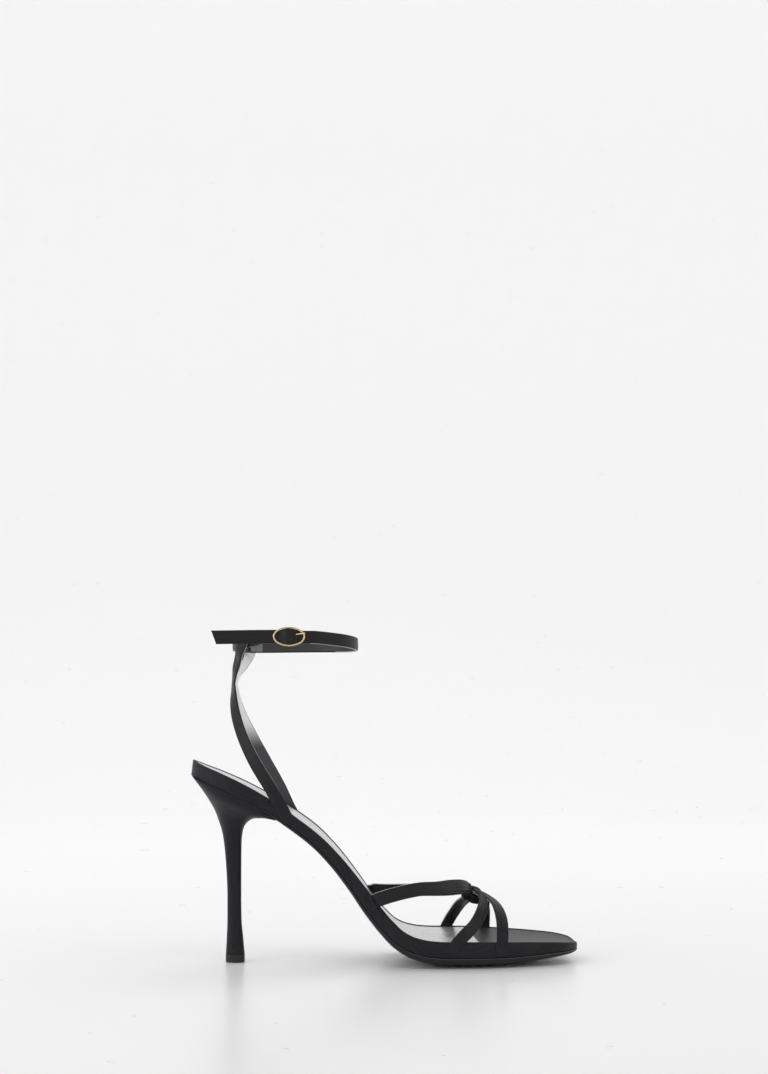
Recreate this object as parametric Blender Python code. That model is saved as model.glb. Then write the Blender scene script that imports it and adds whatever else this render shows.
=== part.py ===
"""A strappy evening sandal with a tall covered stiletto heel, for the right foot.

Lengths are in metres. +X points to the toe, -Y to the outer side of the foot, +Z up, and the floor is z = 0.
The sole is a row of sections along the last. Each strap is a flat band swept along a smooth route, and the places
of its rows follow the sole, the ankle ring and a few heights, so that they move along when a size changes.
"""

import math

import bmesh
import bpy
import numpy as np
from mathutils import Matrix

# Sole and last
LENGTH = 0.2150             # heel back to toe tip, seen from above
BALL_WIDTH = 0.0755         # sole at its widest
SEAT_WIDTH = 0.0530         # sole at the heel seat
SEAT_LIFT = 0.1042          # floor to the underside of the sole at its back end
SOLE_THICKNESS = 0.0146     # footbed and outsole together under the ball
TOE_SPRING = 0.0056         # lift of the underside at the toe tip
TOE_CORNER = 0.0116         # radius of the square toe's corners, seen from above
SEAT_ROUND = 0.0273         # length of the round stretch at the heel end
ARCH_RAISE = 0.0030         # how much higher the inner edge lies in the waist
SOLE_ROLL = 0.0031          # how far the outsole's bottom rises at its edges
OUTSOLE_INSET = 0.0004      # outsole's edge inside the footbed's edge
FOOTBED_EDGE = 0.0010       # rounding of the footbed's upper edge
SEAT_CUP = 0.0009           # hollow of the footbed across its width
LINING_THICKNESS = 0.0009
LINING_INSET = 0.0016       # linings' edge inside the footbed's edge
LINING_ENDS = 0.0019        # linings' ends inside the footbed's back and front ends
RIM_HEIGHT = 0.0003         # footbed's rim above the linings' edges
LINING_SPLIT = 0.7330       # place of the straight edge between the two linings, share of length
GAP = 0.0003                # space between pieces that touch

# Heel
HEEL_TIP_HEIGHT = 0.0046
HEEL_TIP_LENGTH = 0.0106
HEEL_TIP_WIDTH = 0.0102
HEEL_SETBACK = 0.0192       # heel tip's back end in front of the sole's back end
BREAST_REACH = 0.0480       # sole's back end to the front edge of the heel's top

# Straps
STRAP_THICKNESS = 0.0013
VAMP_STRAP_WIDTH = 0.0077    # rear strap of the vamp
FRONT_STRAP_WIDTH = 0.0065
HEEL_STRAP_WIDTH = 0.0070
ANKLE_STRAP_WIDTH = 0.0068
VAMP_HEIGHT = 0.0280        # middle of the rear vamp strap above the footbed, near the knot
ANKLE_RISE = 0.0649         # middle of the ankle strap in front, above the footbed's back end
ANKLE_LENGTH = 0.0688       # ankle ring from back to front, middle of the strap
ANKLE_WIDTH = 0.0602        # ankle ring from side to side, middle of the strap
ANKLE_CENTRE = 0.2697       # centre of the ankle ring, share of length from the back
ANKLE_TILT = 0.0014         # outer side of the ankle ring higher, inner side lower
ANKLE_DROP = 0.0012         # back of the ankle ring lower than its front
TAIL_LENGTH = 0.0403        # free end of the ankle strap behind the buckle's bar
TAIL_SLANT = 0.0031         # slant of the free end's cut

# Buckle
BUCKLE_LENGTH = 0.0175
BUCKLE_HEIGHT = 0.0109
BUCKLE_WIRE = 0.00062       # radius of the ring's wire
BAR_WIRE = 0.00055          # radius of the centre bar
BAR_CRANK = 0.0026          # bar set in towards the ankle
PRONG_WIRE = 0.00042
PRONG_LIFT = 0.0010         # prong above the ring's middle
STRAP_CLEARANCE = 0.0003    # strap to wire

BEND_WEIGHT = 0.006         # length that a bend of one radian counts for when a strap is divided into sections

# The sole from back to front, one row for each section. along: share of the length, at the underside.
# lift, spring, thick, under and arch: shares of SEAT_LIFT, TOE_SPRING, SOLE_THICKNESS, of the section's own
# thickness that is outsole, and of ARCH_RAISE. lean: degrees of the section from upright. outer and inner: half
# widths as shares of half the ball width.
LAST_COLUMNS = ("along", "lift", "spring", "thick", "lean", "outer", "inner", "under", "arch")
LAST_ROWS = (
    (0.000, 1.0000, 0.00, 0.589, 6, 0.690, 0.690, 0.00, 0.0),
    (0.026, 0.9730, 0.00, 0.582, 14, 0.695, 0.695, 0.00, 0.0),
    (0.068, 0.9370, 0.00, 0.575, 21, 0.700, 0.700, 0.00, 0.0),
    (0.130, 0.8760, 0.00, 0.568, 28, 0.702, 0.702, 0.05, 0.1),
    (0.191, 0.8020, 0.00, 0.562, 33, 0.684, 0.678, 0.17, 0.4),
    (0.254, 0.7110, 0.00, 0.555, 38, 0.636, 0.622, 0.20, 0.8),
    (0.312, 0.6150, 0.00, 0.555, 43, 0.594, 0.560, 0.20, 1.0),
    (0.360, 0.5090, 0.00, 0.568, 49, 0.590, 0.548, 0.20, 0.9),
    (0.404, 0.3900, 0.00, 0.603, 52, 0.634, 0.590, 0.20, 0.6),
    (0.443, 0.2720, 0.00, 0.658, 50, 0.720, 0.690, 0.21, 0.2),
    (0.480, 0.1740, 0.00, 0.705, 43, 0.808, 0.796, 0.24, 0.0),
    (0.515, 0.0970, 0.00, 0.774, 31, 0.878, 0.880, 0.29, 0.0),
    (0.557, 0.0410, 0.00, 0.884, 17, 0.934, 0.944, 0.34, 0.0),
    (0.604, 0.0105, 0.00, 0.966, 7, 0.970, 0.986, 0.37, 0.0),
    (0.654, 0.0000, 0.00, 1.000, 0, 0.988, 1.012, 0.385, 0.0),
    (0.710, 0.0000, 0.00, 0.993, 0, 0.988, 1.006, 0.385, 0.0),
    (0.770, 0.0000, 0.00, 0.973, 0, 0.954, 0.962, 0.385, 0.0),
    (0.817, 0.0000, 0.06, 0.928, 0, 0.893, 0.901, 0.385, 0.0),
    (0.863, 0.0000, 0.23, 0.836, 0, 0.822, 0.822, 0.385, 0.0),
    (0.910, 0.0000, 0.46, 0.712, 0, 0.737, 0.732, 0.380, 0.0),
    (0.952, 0.0000, 0.71, 0.575, 0, 0.641, 0.636, 0.370, 0.0),
    (0.985, 0.0000, 0.92, 0.432, 0, 0.556, 0.562, 0.365, 0.0),
    (0.995, 0.0000, 1.05, 0.350, 0, 0.530, 0.538, 0.360, 0.0),
    (1.000, 0.0000, 1.25, 0.230, 0, 0.517, 0.525, 0.360, 0.0),
)

# The heel from the tip's top to the seat, one row for each section. back_x, front_x and width: shares of the heel
# tip's length, measured from the tip's own back end, and of its width. back_z and front_z: shares of SEAT_LIFT.
# square: how boxy the front half is, from 2, round, to 6.
HEEL_COLUMNS = ("back_x", "back_z", "front_x", "front_z", "width", "square")
HEEL_ROWS = (
    (0.010, 0.050, 0.990, 0.050, 1.00, 3.2),
    (0.050, 0.125, 0.920, 0.125, 0.90, 3.2),
    (0.085, 0.230, 0.830, 0.230, 0.82, 3.2),
    (0.085, 0.360, 0.815, 0.360, 0.80, 3.2),
    (0.000, 0.540, 0.820, 0.540, 0.92, 3.2),
    (-0.085, 0.630, 0.830, 0.625, 1.20, 3.4),
    (-0.185, 0.693, 0.870, 0.680, 1.62, 3.6),
    (-0.370, 0.755, 0.975, 0.722, 2.22, 4.0),
    (-0.560, 0.808, 1.190, 0.752, 2.90, 4.4),
    (-0.890, 0.870, 1.540, 0.771, 3.66, 5.0),
    (-1.270, 0.932, 2.020, 0.775, 4.40, 5.5),
)

SATIN_BLACK = (0.0252, 0.0252, 0.0270)
LINING_SILVER = (0.52, 0.52, 0.53)
RUBBER_BLACK = (0.012, 0.012, 0.013)
OUTSOLE_BLACK = (0.018, 0.018, 0.020)
GOLD = (0.72, 0.48, 0.20)


def smooth_through(places, values, wanted):
    """Values at the wanted places on a smooth curve that never overshoots its rows."""
    places = np.asarray(places, dtype=float)
    values = np.asarray(values, dtype=float)
    steps = np.diff(places)
    slopes = np.diff(values) / steps
    tangents = np.zeros_like(values)
    for i in range(1, len(places) - 1):
        if slopes[i - 1] * slopes[i] > 0:
            before = 2 * steps[i] + steps[i - 1]
            after = steps[i] + 2 * steps[i - 1]
            tangents[i] = (before + after) / (before / slopes[i - 1] + after / slopes[i])
    tangents[0] = slopes[0]
    tangents[-1] = slopes[-1]
    wanted = np.clip(wanted, places[0], places[-1])
    i = np.clip(np.searchsorted(places, wanted) - 1, 0, len(steps) - 1)
    t = (wanted - places[i]) / steps[i]
    start = (1 + 2 * t) * (1 - t) ** 2 * values[i] + t * (1 - t) ** 2 * steps[i] * tangents[i]
    end = t * t * (3 - 2 * t) * values[i + 1] - t * t * (1 - t) * steps[i] * tangents[i + 1]
    return start + end


def last_value(name, along):
    """One column of the last's table at a share of the length."""
    column = LAST_COLUMNS.index(name)
    places = [row[0] for row in LAST_ROWS]
    values = [row[column] for row in LAST_ROWS]
    return float(smooth_through(places, values, along))


def half_width(along, side, inset=0.0):
    """Distance from the middle line to the sole's edge, with the round heel end and the square toe's corners."""
    name = "outer" if side < 0 else "inner"
    seat_share = SEAT_WIDTH / BALL_WIDTH
    share = last_value(name, along)
    seat_fade = min(1.0, max(0.0, (0.30 - along) / 0.15))
    share *= 1 + seat_fade * (seat_share / 0.702 - 1)
    width = share * BALL_WIDTH / 2 - inset
    from_back = along * LENGTH - inset
    if from_back < SEAT_ROUND - inset:
        reach = 1 - max(from_back, 0.0) / (SEAT_ROUND - inset)
        width *= math.sqrt(max(0.0, 1 - reach * reach))
    from_tip = (1 - along) * LENGTH - inset
    corner = TOE_CORNER - inset
    if from_tip < corner:
        reach = corner - max(from_tip, 0.0)
        width -= corner - math.sqrt(max(0.0, corner * corner - reach * reach))
    return width


def section_thickness(along):
    return SOLE_THICKNESS * last_value("thick", along)


def place(along, across, height):
    """A point of the sole: across from the middle line, height above the underside, square to the section."""
    lean = math.radians(last_value("lean", along))
    side_share = across / half_width(min(max(along, 0.02), 0.97), math.copysign(1, across))
    raised = ARCH_RAISE * last_value("arch", along) * (0.5 + 0.5 * side_share)
    x = (along - 0.5) * LENGTH + height * math.sin(lean)
    z = SEAT_LIFT * last_value("lift", along) + TOE_SPRING * last_value("spring", along)
    return np.array([x, across, z + height * math.cos(lean) + raised])


def stations(first, last, count):
    """Shares of the length from first to last, closer together at round ends."""
    heel_end = SEAT_ROUND / LENGTH
    toe_end = 1 - TOE_CORNER / LENGTH
    places = []
    if first < heel_end:
        start = math.acos(1 - first / heel_end)
        places += [heel_end * (1 - math.cos(a)) for a in np.linspace(start, math.pi / 2, 7)[:-1]]
        first = heel_end
    stop = min(last, toe_end)
    places += list(np.linspace(first, stop, count))
    if last > toe_end:
        end = math.asin((last - toe_end) / (1 - toe_end))
        places += [toe_end + (1 - toe_end) * math.sin(a) for a in np.linspace(0, end, 9)[1:]]
    return places


def material(name, colour, roughness, metallic=0.0):
    made = bpy.data.materials.new(name)
    made.use_nodes = True
    shader = made.node_tree.nodes["Principled BSDF"]
    shader.inputs["Base Color"].default_value = (*colour, 1.0)
    shader.inputs["Roughness"].default_value = roughness
    shader.inputs["Metallic"].default_value = metallic
    made.diffuse_color = (*colour, 1.0)
    return made


def add_object(name, mesh, finish, smooth_angle=40):
    mesh.materials.clear()
    mesh.materials.append(finish)
    mesh.shade_smooth()
    mesh.set_sharp_from_angle(angle=math.radians(smooth_angle))
    made = bpy.data.objects.new(name, mesh)
    bpy.context.collection.objects.link(made)
    return made


def skin(name, rings, closed=False):
    """A closed mesh over rings of points, with flat ends unless it runs back into itself."""
    build = bmesh.new()
    rows = [[build.verts.new(point) for point in ring] for ring in rings]
    count = len(rows[0])
    pairs = list(zip(rows[:-1], rows[1:]))
    if closed:
        pairs.append((rows[-1], rows[0]))
    for one, two in pairs:
        for i in range(count):
            j = (i + 1) % count
            build.faces.new((one[i], one[j], two[j], two[i]))
    if not closed:
        build.faces.new(rows[0][::-1])
        build.faces.new(rows[-1])
    bmesh.ops.recalc_face_normals(build, faces=build.faces)
    mesh = bpy.data.meshes.new(name)
    build.to_mesh(mesh)
    build.free()
    return mesh


def combine(body, others, operation):
    """Join other solids to a body, or cut them out of it, and keep the result as the body's own mesh."""
    group = bpy.data.collections.new("operands")
    for other in others:
        group.objects.link(other)
    step = body.modifiers.new("combine", "BOOLEAN")
    step.operation = operation
    step.solver = "EXACT"
    step.use_self = True
    step.operand_type = "COLLECTION"
    step.collection = group
    graph = bpy.context.evaluated_depsgraph_get()
    mesh = bpy.data.meshes.new_from_object(body.evaluated_get(graph))
    body.modifiers.clear()
    bpy.data.collections.remove(group)
    body.data = mesh
    mesh.shade_smooth()
    mesh.set_sharp_from_angle(angle=math.radians(40))
    for other in others:
        bpy.data.objects.remove(other)
    return body


def footbed_underside(along):
    """Height of the footbed's underside over the sole's underside: over the outsole, or bare at the seat."""
    under = section_thickness(along) * last_value("under", along)
    return under + min(GAP, under)


def bed_ends():
    """Shares of the length between which the footbed is sunk for the linings."""
    margin = (LINING_ENDS - GAP) / LENGTH
    return margin, 1 - margin


def footbed_ring(along):
    """One section of the footbed: a rounded rim round a shallow hollow that is sunk for the linings."""
    thickness = section_thickness(along)
    low = footbed_underside(along)
    edge = FOOTBED_EDGE
    left = half_width(along, -1)
    right = half_width(along, 1)
    cup = SEAT_CUP * min(1.0, (left + right) / SEAT_WIDTH)
    first, last = bed_ends()
    inside = first <= along <= last
    nearest = min(max(along, first), last)
    reach = 1.0 if inside else 0.9
    bed_left = min(half_width(nearest, -1, LINING_INSET - GAP), reach * (left - edge))
    bed_right = min(half_width(nearest, 1, LINING_INSET - GAP), reach * (right - edge))
    bed = thickness - (LINING_THICKNESS + GAP + RIM_HEIGHT if inside else 0.0)
    soft = 0.4 * edge
    points = [
        place(along, -left, thickness - edge),
        place(along, -left + 0.3 * edge, thickness - 0.3 * edge),
        place(along, -left + edge, thickness),
        place(along, -bed_left, thickness),
        place(along, -bed_left, bed) if inside else place(along, -0.9 * bed_left, bed),
        place(along, -0.55 * bed_left, bed - 0.7 * cup),
        place(along, 0.0, bed - cup),
        place(along, 0.55 * bed_right, bed - 0.7 * cup),
        place(along, bed_right, bed) if inside else place(along, 0.9 * bed_right, bed),
        place(along, bed_right, thickness),
        place(along, right - edge, thickness),
        place(along, right - 0.3 * edge, thickness - 0.3 * edge),
        place(along, right, thickness - edge),
        place(along, right, low + soft),
        place(along, right - soft, low),
        place(along, 0.5 * right, low),
        place(along, -0.5 * left, low),
        place(along, -left + soft, low),
        place(along, -left, low + soft),
    ]
    return points


def outsole_ring(along, extra=0.0):
    """One section of the outsole: flat in the middle of its underside and rolled up at the edges."""
    thickness = section_thickness(along)
    top = thickness * last_value("under", along) + extra
    roll = min(SOLE_ROLL, 0.55 * top)
    left = half_width(along, -1) - OUTSOLE_INSET + extra
    right = half_width(along, 1) - OUTSOLE_INSET + extra
    shape = ((1.0, 1.0), (0.985, 0.84), (0.92, 0.60), (0.76, 0.25), (0.46, 0.0))
    outer = [place(along, -left * across, roll * height - extra) for across, height in shape]
    inner = [place(along, right * across, roll * height - extra) for across, height in reversed(shape)]
    tops = [place(along, right, top), place(along, 0.4 * right, top), place(along, -0.4 * left, top)]
    return outer + inner + tops + [place(along, -left, top)]


def lining_ring(along):
    """One section of a lining that lies in the footbed's hollow."""
    thickness = section_thickness(along) - LINING_THICKNESS - RIM_HEIGHT
    left = half_width(along, -1, LINING_INSET)
    right = half_width(along, 1, LINING_INSET)
    cup = SEAT_CUP * min(1.0, (left + right) / SEAT_WIDTH)
    shares = (-1.0, -0.6, 0.0, 0.6, 1.0)
    hollow = (0.0, 0.7, 1.0, 0.7, 0.0)
    low = []
    high = []
    for share, drop in zip(shares, hollow):
        across = share * (left if share < 0 else right)
        low.append(place(along, across, thickness - drop * cup))
        high.append(place(along, across, thickness + LINING_THICKNESS - drop * cup))
    return high + low[::-1]


def make_footbed(finish):
    step_run = 0.0001 / LENGTH
    first, last = bed_ends()
    places = stations(0.0012, 1.0, 27) + [first - step_run, first, last, last + step_run]
    rings = [footbed_ring(along) for along in sorted(places)]
    return add_object("footbed", skin("footbed", rings), finish)


def make_outsole(finish):
    rings = [outsole_ring(along) for along in stations(0.178, 0.9975, 24)]
    return add_object("outsole", skin("outsole", rings), finish)


def make_lining(name, first, last, count, finish):
    rings = [lining_ring(along) for along in stations(first, last, count)]
    return add_object(name, skin(name, rings), finish)


def heel_section(back, front, half, square, seat_share):
    """A closed section between a back and a front point, round behind and boxy in front."""
    count = 26
    points = []
    for i in range(count):
        angle = 2 * math.pi * i / count
        lengthwise = math.cos(angle)
        sideways = math.sin(angle)
        power = 2 / (2.2 if lengthwise < 0 else square)
        share = 0.5 + 0.5 * math.copysign(abs(lengthwise) ** power, lengthwise)
        side = -1 if sideways < 0 else 1
        across = half * abs(sideways) ** power
        x = back[0] + (front[0] - back[0]) * share
        z = back[1] + (front[1] - back[1]) * share
        if seat_share > 0:
            top_x = x + section_thickness(0.1) * 0.25
            along = min(max(top_x / LENGTH + 0.5, 0.0), 1.0)
            seat_half = half_width(along, side) - OUTSOLE_INSET
            closing = min(1.0, abs(sideways) / 0.22)
            across += seat_share * (seat_half * closing - across)
        points.append(np.array([x, side * across, z]))
    return points


def seat_cut_ring(along):
    """A wide section just under the footbed, open upwards, that trims the heel's top to the seat."""
    low = footbed_underside(along) - GAP
    wide = SEAT_WIDTH / 2 + 0.006
    edges = [place(along, wide * share, low) for share in (-1.0, -0.5, 0.0, 0.5, 1.0)]
    tops = [point + np.array([0.0, 0.0, 0.03]) for point in (edges[-1], edges[0])]
    return edges + tops


def make_heel(finish):
    """The covered heel: sections that fan from level at the tip to the slope of the seat."""
    tip_back = -LENGTH / 2 + HEEL_SETBACK
    table = []
    for row in HEEL_ROWS:
        shares = dict(zip(HEEL_COLUMNS, row))
        back = (tip_back + shares["back_x"] * HEEL_TIP_LENGTH, shares["back_z"] * SEAT_LIFT)
        front = (tip_back + shares["front_x"] * HEEL_TIP_LENGTH, shares["front_z"] * SEAT_LIFT)
        table.append((back, front, shares["width"] * HEEL_TIP_WIDTH / 2, shares["square"], 0.0))
    first_back = (table[0][0][0], HEEL_TIP_HEIGHT + GAP)
    first_front = (table[0][1][0], HEEL_TIP_HEIGHT + GAP)
    table[0] = (first_back, first_front, *table[0][2:])
    seat_back = (-LENGTH / 2 + 0.0004, SEAT_LIFT)
    front_along = BREAST_REACH / LENGTH
    under_front = place(front_along, 0.0, 0.0)
    seat_front = (under_front[0], under_front[2] - 0.0002)
    seat_half = SEAT_WIDTH / 2
    table.append((seat_back, seat_front, seat_half, 6.0, 1.0))
    lifted = 0.008
    slope = math.atan2(seat_back[1] - seat_front[1], seat_front[0] - seat_back[0])
    shift = (lifted * math.sin(slope) * 0.3, lifted * math.cos(slope))
    top_back = (seat_back[0] + shift[0], seat_back[1] + shift[1])
    top_front = (seat_front[0] + shift[0], seat_front[1] + shift[1])
    table.append((top_back, top_front, seat_half, 6.0, 1.0))
    rings = [heel_section(*row) for row in table]
    body = add_object("heel", skin("heel", rings), finish)

    seat_cut = [seat_cut_ring(along) for along in stations(0.0, 0.33, 14)]
    behind = [point + np.array([-0.004, 0.0, 0.0012]) for point in seat_cut[0]]
    over = add_object("seat_cut", skin("seat_cut", [behind] + seat_cut), finish)
    sole_cut = [outsole_ring(along, GAP) for along in stations(0.1765, 0.33, 8)]
    under = add_object("sole_cut", skin("sole_cut", sole_cut), finish)
    return combine(body, [over, under], "DIFFERENCE")


def make_heel_tip(finish):
    tip_back = -LENGTH / 2 + HEEL_SETBACK
    half = HEEL_TIP_WIDTH / 2
    rings = []
    for height, inset in ((0.0, 0.0003), (0.0004, 0.0), (HEEL_TIP_HEIGHT, 0.0)):
        back = (tip_back + inset, height)
        front = (tip_back + HEEL_TIP_LENGTH - inset, height)
        rings.append(heel_section(back, front, half - inset, 3.2, 0.0))
    return add_object("heel_tip", skin("heel_tip", rings), finish)


def facing(heading, rise):
    """The outward direction of a strap's face: heading in degrees from +X towards +Y, rise above level."""
    level = math.cos(math.radians(rise))
    x = level * math.cos(math.radians(heading))
    y = level * math.sin(math.radians(heading))
    return np.array([x, y, math.sin(math.radians(rise))])


def smooth_route(rows, step):
    """Rows of a point, a face, a width and a thickness on a smooth curve, closer together where it bends."""
    table = np.array([[*point, *face, width, thick] for point, face, width, thick in rows])
    spans = np.linalg.norm(np.diff(table[:, :3], axis=0), axis=1) ** 0.5
    knots = np.concatenate([[0.0], np.cumsum(spans)])
    tangents = np.zeros_like(table)
    for i in range(1, len(table) - 1):
        before = (table[i] - table[i - 1]) / spans[i - 1]
        after = (table[i + 1] - table[i]) / spans[i]
        share = spans[i - 1] / (spans[i - 1] + spans[i])
        tangents[i] = before * (1 - share) + after * share
    tangents[0] = (table[1] - table[0]) / spans[0]
    tangents[-1] = (table[-1] - table[-2]) / spans[-1]
    fine = np.linspace(0, knots[-1], 40 * len(table))
    i = np.clip(np.searchsorted(knots, fine) - 1, 0, len(spans) - 1)
    t = ((fine - knots[i]) / spans[i])[:, None]
    width = spans[i][:, None]
    curve = (2 * t**3 - 3 * t**2 + 1) * table[i] + (t**3 - 2 * t**2 + t) * width * tangents[i]
    curve += (3 * t**2 - 2 * t**3) * table[i + 1] + (t**3 - t**2) * width * tangents[i + 1]
    moves = np.diff(curve[:, :3], axis=0)
    lengths = np.linalg.norm(moves, axis=1)
    headings = moves / lengths[:, None]
    turns = np.concatenate([[0.0], np.linalg.norm(np.diff(headings, axis=0), axis=1)])
    run = np.concatenate([[0.0], np.cumsum(lengths + BEND_WEIGHT * turns)])
    count = max(4, int(round(run[-1] / step)) + 1)
    even = np.linspace(0, run[-1], count)
    return np.array([np.interp(even, run, curve[:, column]) for column in range(8)]).T


def strap_rings(rows, step, end_slant=0.0):
    """Sections of a flat band along its route. The slant cuts the far end at an angle."""
    route = smooth_route(rows, step)
    points = route[:, :3]
    directions = np.gradient(points, axis=0)
    rings = []
    for i, row in enumerate(route):
        ahead = directions[i] / np.linalg.norm(directions[i])
        face = row[3:6] - ahead * np.dot(row[3:6], ahead)
        face /= np.linalg.norm(face)
        wide = np.cross(face, ahead)
        half = row[6] / 2
        thick = row[7] / 2
        soft = 0.55 * thick
        outline = (
            (-half + soft, thick), (half - soft, thick), (half, thick - soft), (half, soft - thick),
            (half - soft, -thick), (-half + soft, -thick), (-half, soft - thick), (-half, thick - soft),
        )
        ring = [points[i] + wide * a + face * b for a, b in outline]
        if end_slant and i == len(route) - 1:
            up = np.sign(wide[2])
            ring = [point + ahead * end_slant * up * a / row[6] for point, (a, b) in zip(ring, outline)]
        rings.append(ring)
    return rings


def make_strap(name, rows, step, finish, end_slant=0.0):
    return add_object(name, skin(name, strap_rings(rows, step, end_slant)), finish)


def beside_sole(along, side, height):
    """The middle of a strap that lies on the footbed's side, at a share of the section's height."""
    across = half_width(along, side) + 1.6 * GAP + STRAP_THICKNESS / 2
    return place(along, side * across, height * section_thickness(along))


def side_facing(along, side):
    """The outward direction of the footbed's side, square to its edge and to its height."""
    near = beside_sole(along - 0.012, side, 0.5)
    far = beside_sole(along + 0.012, side, 0.5)
    tall = beside_sole(along, side, 1.0) - beside_sole(along, side, 0.0)
    out = np.cross(far - near, tall)
    out *= side * np.sign(out[1])
    return out / np.linalg.norm(out)


def above_bed(along, across, height):
    """A point over the footbed: shares of the length, of half the ball width and of VAMP_HEIGHT."""
    x = (along - 0.5) * LENGTH
    return np.array([x, across * BALL_WIDTH / 2, bed_height(x) + height * VAMP_HEIGHT])


def bed_height(x):
    """Height of the footbed's top on the middle line at a place X."""
    tops = [place(row[0], 0.001, section_thickness(row[0])) for row in LAST_ROWS]
    return float(smooth_through([top[0] for top in tops], [top[2] for top in tops], x))


def vamp_rows(start, rows, end, strap_width):
    """Rows of a vamp strap: its seat on one side, the free rows and its seat on the other side."""
    made = list(start)
    for along, across, height, heading, rise, width, thick in rows:
        point = above_bed(along, across, height)
        made.append((point, facing(heading, rise), width * strap_width, thick * STRAP_THICKNESS))
    return made + list(end)


def seat_rows(side, low, high, strap_width):
    """The end of a vamp strap that runs down over the footbed's side."""
    rows = []
    for along, height in (low, high):
        point = beside_sole(along, side, height)
        rows.append((point, side_facing(along, side), strap_width, STRAP_THICKNESS))
    return rows


def make_vamp(finish):
    """The rear strap, the two crossing front straps and the knot, as one solid."""
    rear = vamp_rows(
        seat_rows(-1, (0.434, 0.42), (0.437, 0.82), VAMP_STRAP_WIDTH),
        (
            (0.477, -0.838, 0.085, -94, 3, 1.00, 1.0),
            (0.521, -0.840, 0.585, -88, 8, 0.98, 1.0),
            (0.579, -0.760, 0.930, -78, 14, 0.97, 1.0),
            (0.630, -0.590, 0.975, -68, 20, 0.97, 1.0),
            (0.670, -0.390, 0.990, -60, 24, 1.00, 1.0),
            (0.702, -0.210, 0.960, -45, 26, 1.00, 1.1),
            (0.722, 0.000, 0.900, 0, 22, 0.95, 1.2),
            (0.700, 0.210, 0.860, 48, 26, 1.00, 1.1),
            (0.665, 0.400, 0.830, 62, 24, 1.00, 1.0),
            (0.612, 0.610, 0.780, 72, 18, 0.97, 1.0),
            (0.560, 0.760, 0.665, 82, 12, 0.97, 1.0),
            (0.513, 0.850, 0.365, 90, 6, 1.00, 1.0),
            (0.478, 0.846, 0.050, 94, 3, 1.00, 1.0),
        ),
        seat_rows(1, (0.431, 0.30), (0.436, 0.78), VAMP_STRAP_WIDTH)[::-1],
        VAMP_STRAP_WIDTH,
    )
    outer_rear = vamp_rows(
        seat_rows(-1, (0.656, 0.58), (0.671, 0.92), FRONT_STRAP_WIDTH),
        (
            (0.690, -1.005, 0.120, -90, 4, 1.05, 1.0),
            (0.722, -0.830, 0.330, -86, 22, 1.02, 1.0),
            (0.746, -0.600, 0.600, -80, 42, 0.98, 1.0),
            (0.755, -0.340, 0.790, -75, 55, 0.92, 1.1),
            (0.746, -0.120, 0.840, -60, 48, 0.80, 1.5),
            (0.737, 0.050, 0.800, 20, 70, 0.80, 1.6),
            (0.748, 0.260, 0.760, 65, 60, 0.85, 1.2),
            (0.765, 0.530, 0.640, 78, 46, 0.95, 1.0),
            (0.779, 0.790, 0.410, 84, 26, 1.00, 1.0),
            (0.783, 0.955, 0.170, 88, 8, 1.00, 1.0),
        ),
        seat_rows(1, (0.781, 0.45), (0.782, 0.82), FRONT_STRAP_WIDTH)[::-1],
        FRONT_STRAP_WIDTH,
    )
    outer_front = vamp_rows(
        seat_rows(-1, (0.788, 0.47), (0.788, 0.82), FRONT_STRAP_WIDTH),
        (
            (0.789, -0.960, 0.200, -88, 8, 1.00, 1.0),
            (0.790, -0.800, 0.440, -82, 24, 1.00, 1.0),
            (0.782, -0.540, 0.680, -70, 46, 0.98, 1.0),
            (0.763, -0.290, 0.800, -50, 62, 0.94, 1.2),
            (0.742, -0.070, 0.855, -20, 60, 0.90, 1.6),
            (0.728, 0.160, 0.800, 60, 30, 0.80, 1.5),
            (0.722, 0.400, 0.650, 78, 30, 0.92, 1.1),
            (0.711, 0.670, 0.500, 84, 24, 1.00, 1.0),
            (0.699, 0.880, 0.300, 88, 12, 1.00, 1.0),
            (0.688, 1.025, 0.110, 90, 4, 1.00, 1.0),
        ),
        seat_rows(1, (0.672, 0.45), (0.677, 0.86), FRONT_STRAP_WIDTH)[::-1],
        FRONT_STRAP_WIDTH,
    )
    body = make_strap("vamp_straps", rear, 0.0055, finish)
    crossing = make_strap("crossing", outer_rear, 0.0055, finish)
    covering = make_strap("covering", outer_front, 0.0055, finish)
    gather = add_object("gather", skin("gather", gather_rings()), finish)
    collar = add_object("collar", skin("collar", collar_rings()), finish)
    return combine(body, [crossing, covering, gather, collar], "UNION")


def gather_rings():
    """The pleated stretch where the front straps are pulled together, lying along X."""
    pleats = 8
    depth = 0.10
    rings = []
    for along, lift, size in ((0.706, 0.78, 0.72), (0.718, 0.79, 0.95), (0.732, 0.80, 1.0), (0.745, 0.79, 0.92),
                              (0.754, 0.78, 0.62)):
        centre = above_bed(along, 0.0, lift)
        ring = []
        for i in range(32):
            angle = 2 * math.pi * i / 32
            ripple = 1 + depth * math.cos(pleats * angle)
            y = 0.42 * VAMP_STRAP_WIDTH * size * ripple * math.cos(angle)
            z = 0.58 * VAMP_STRAP_WIDTH * size * ripple * math.sin(angle)
            ring.append(centre + np.array([0.0, y, z]))
        rings.append(ring)
    return rings


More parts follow.
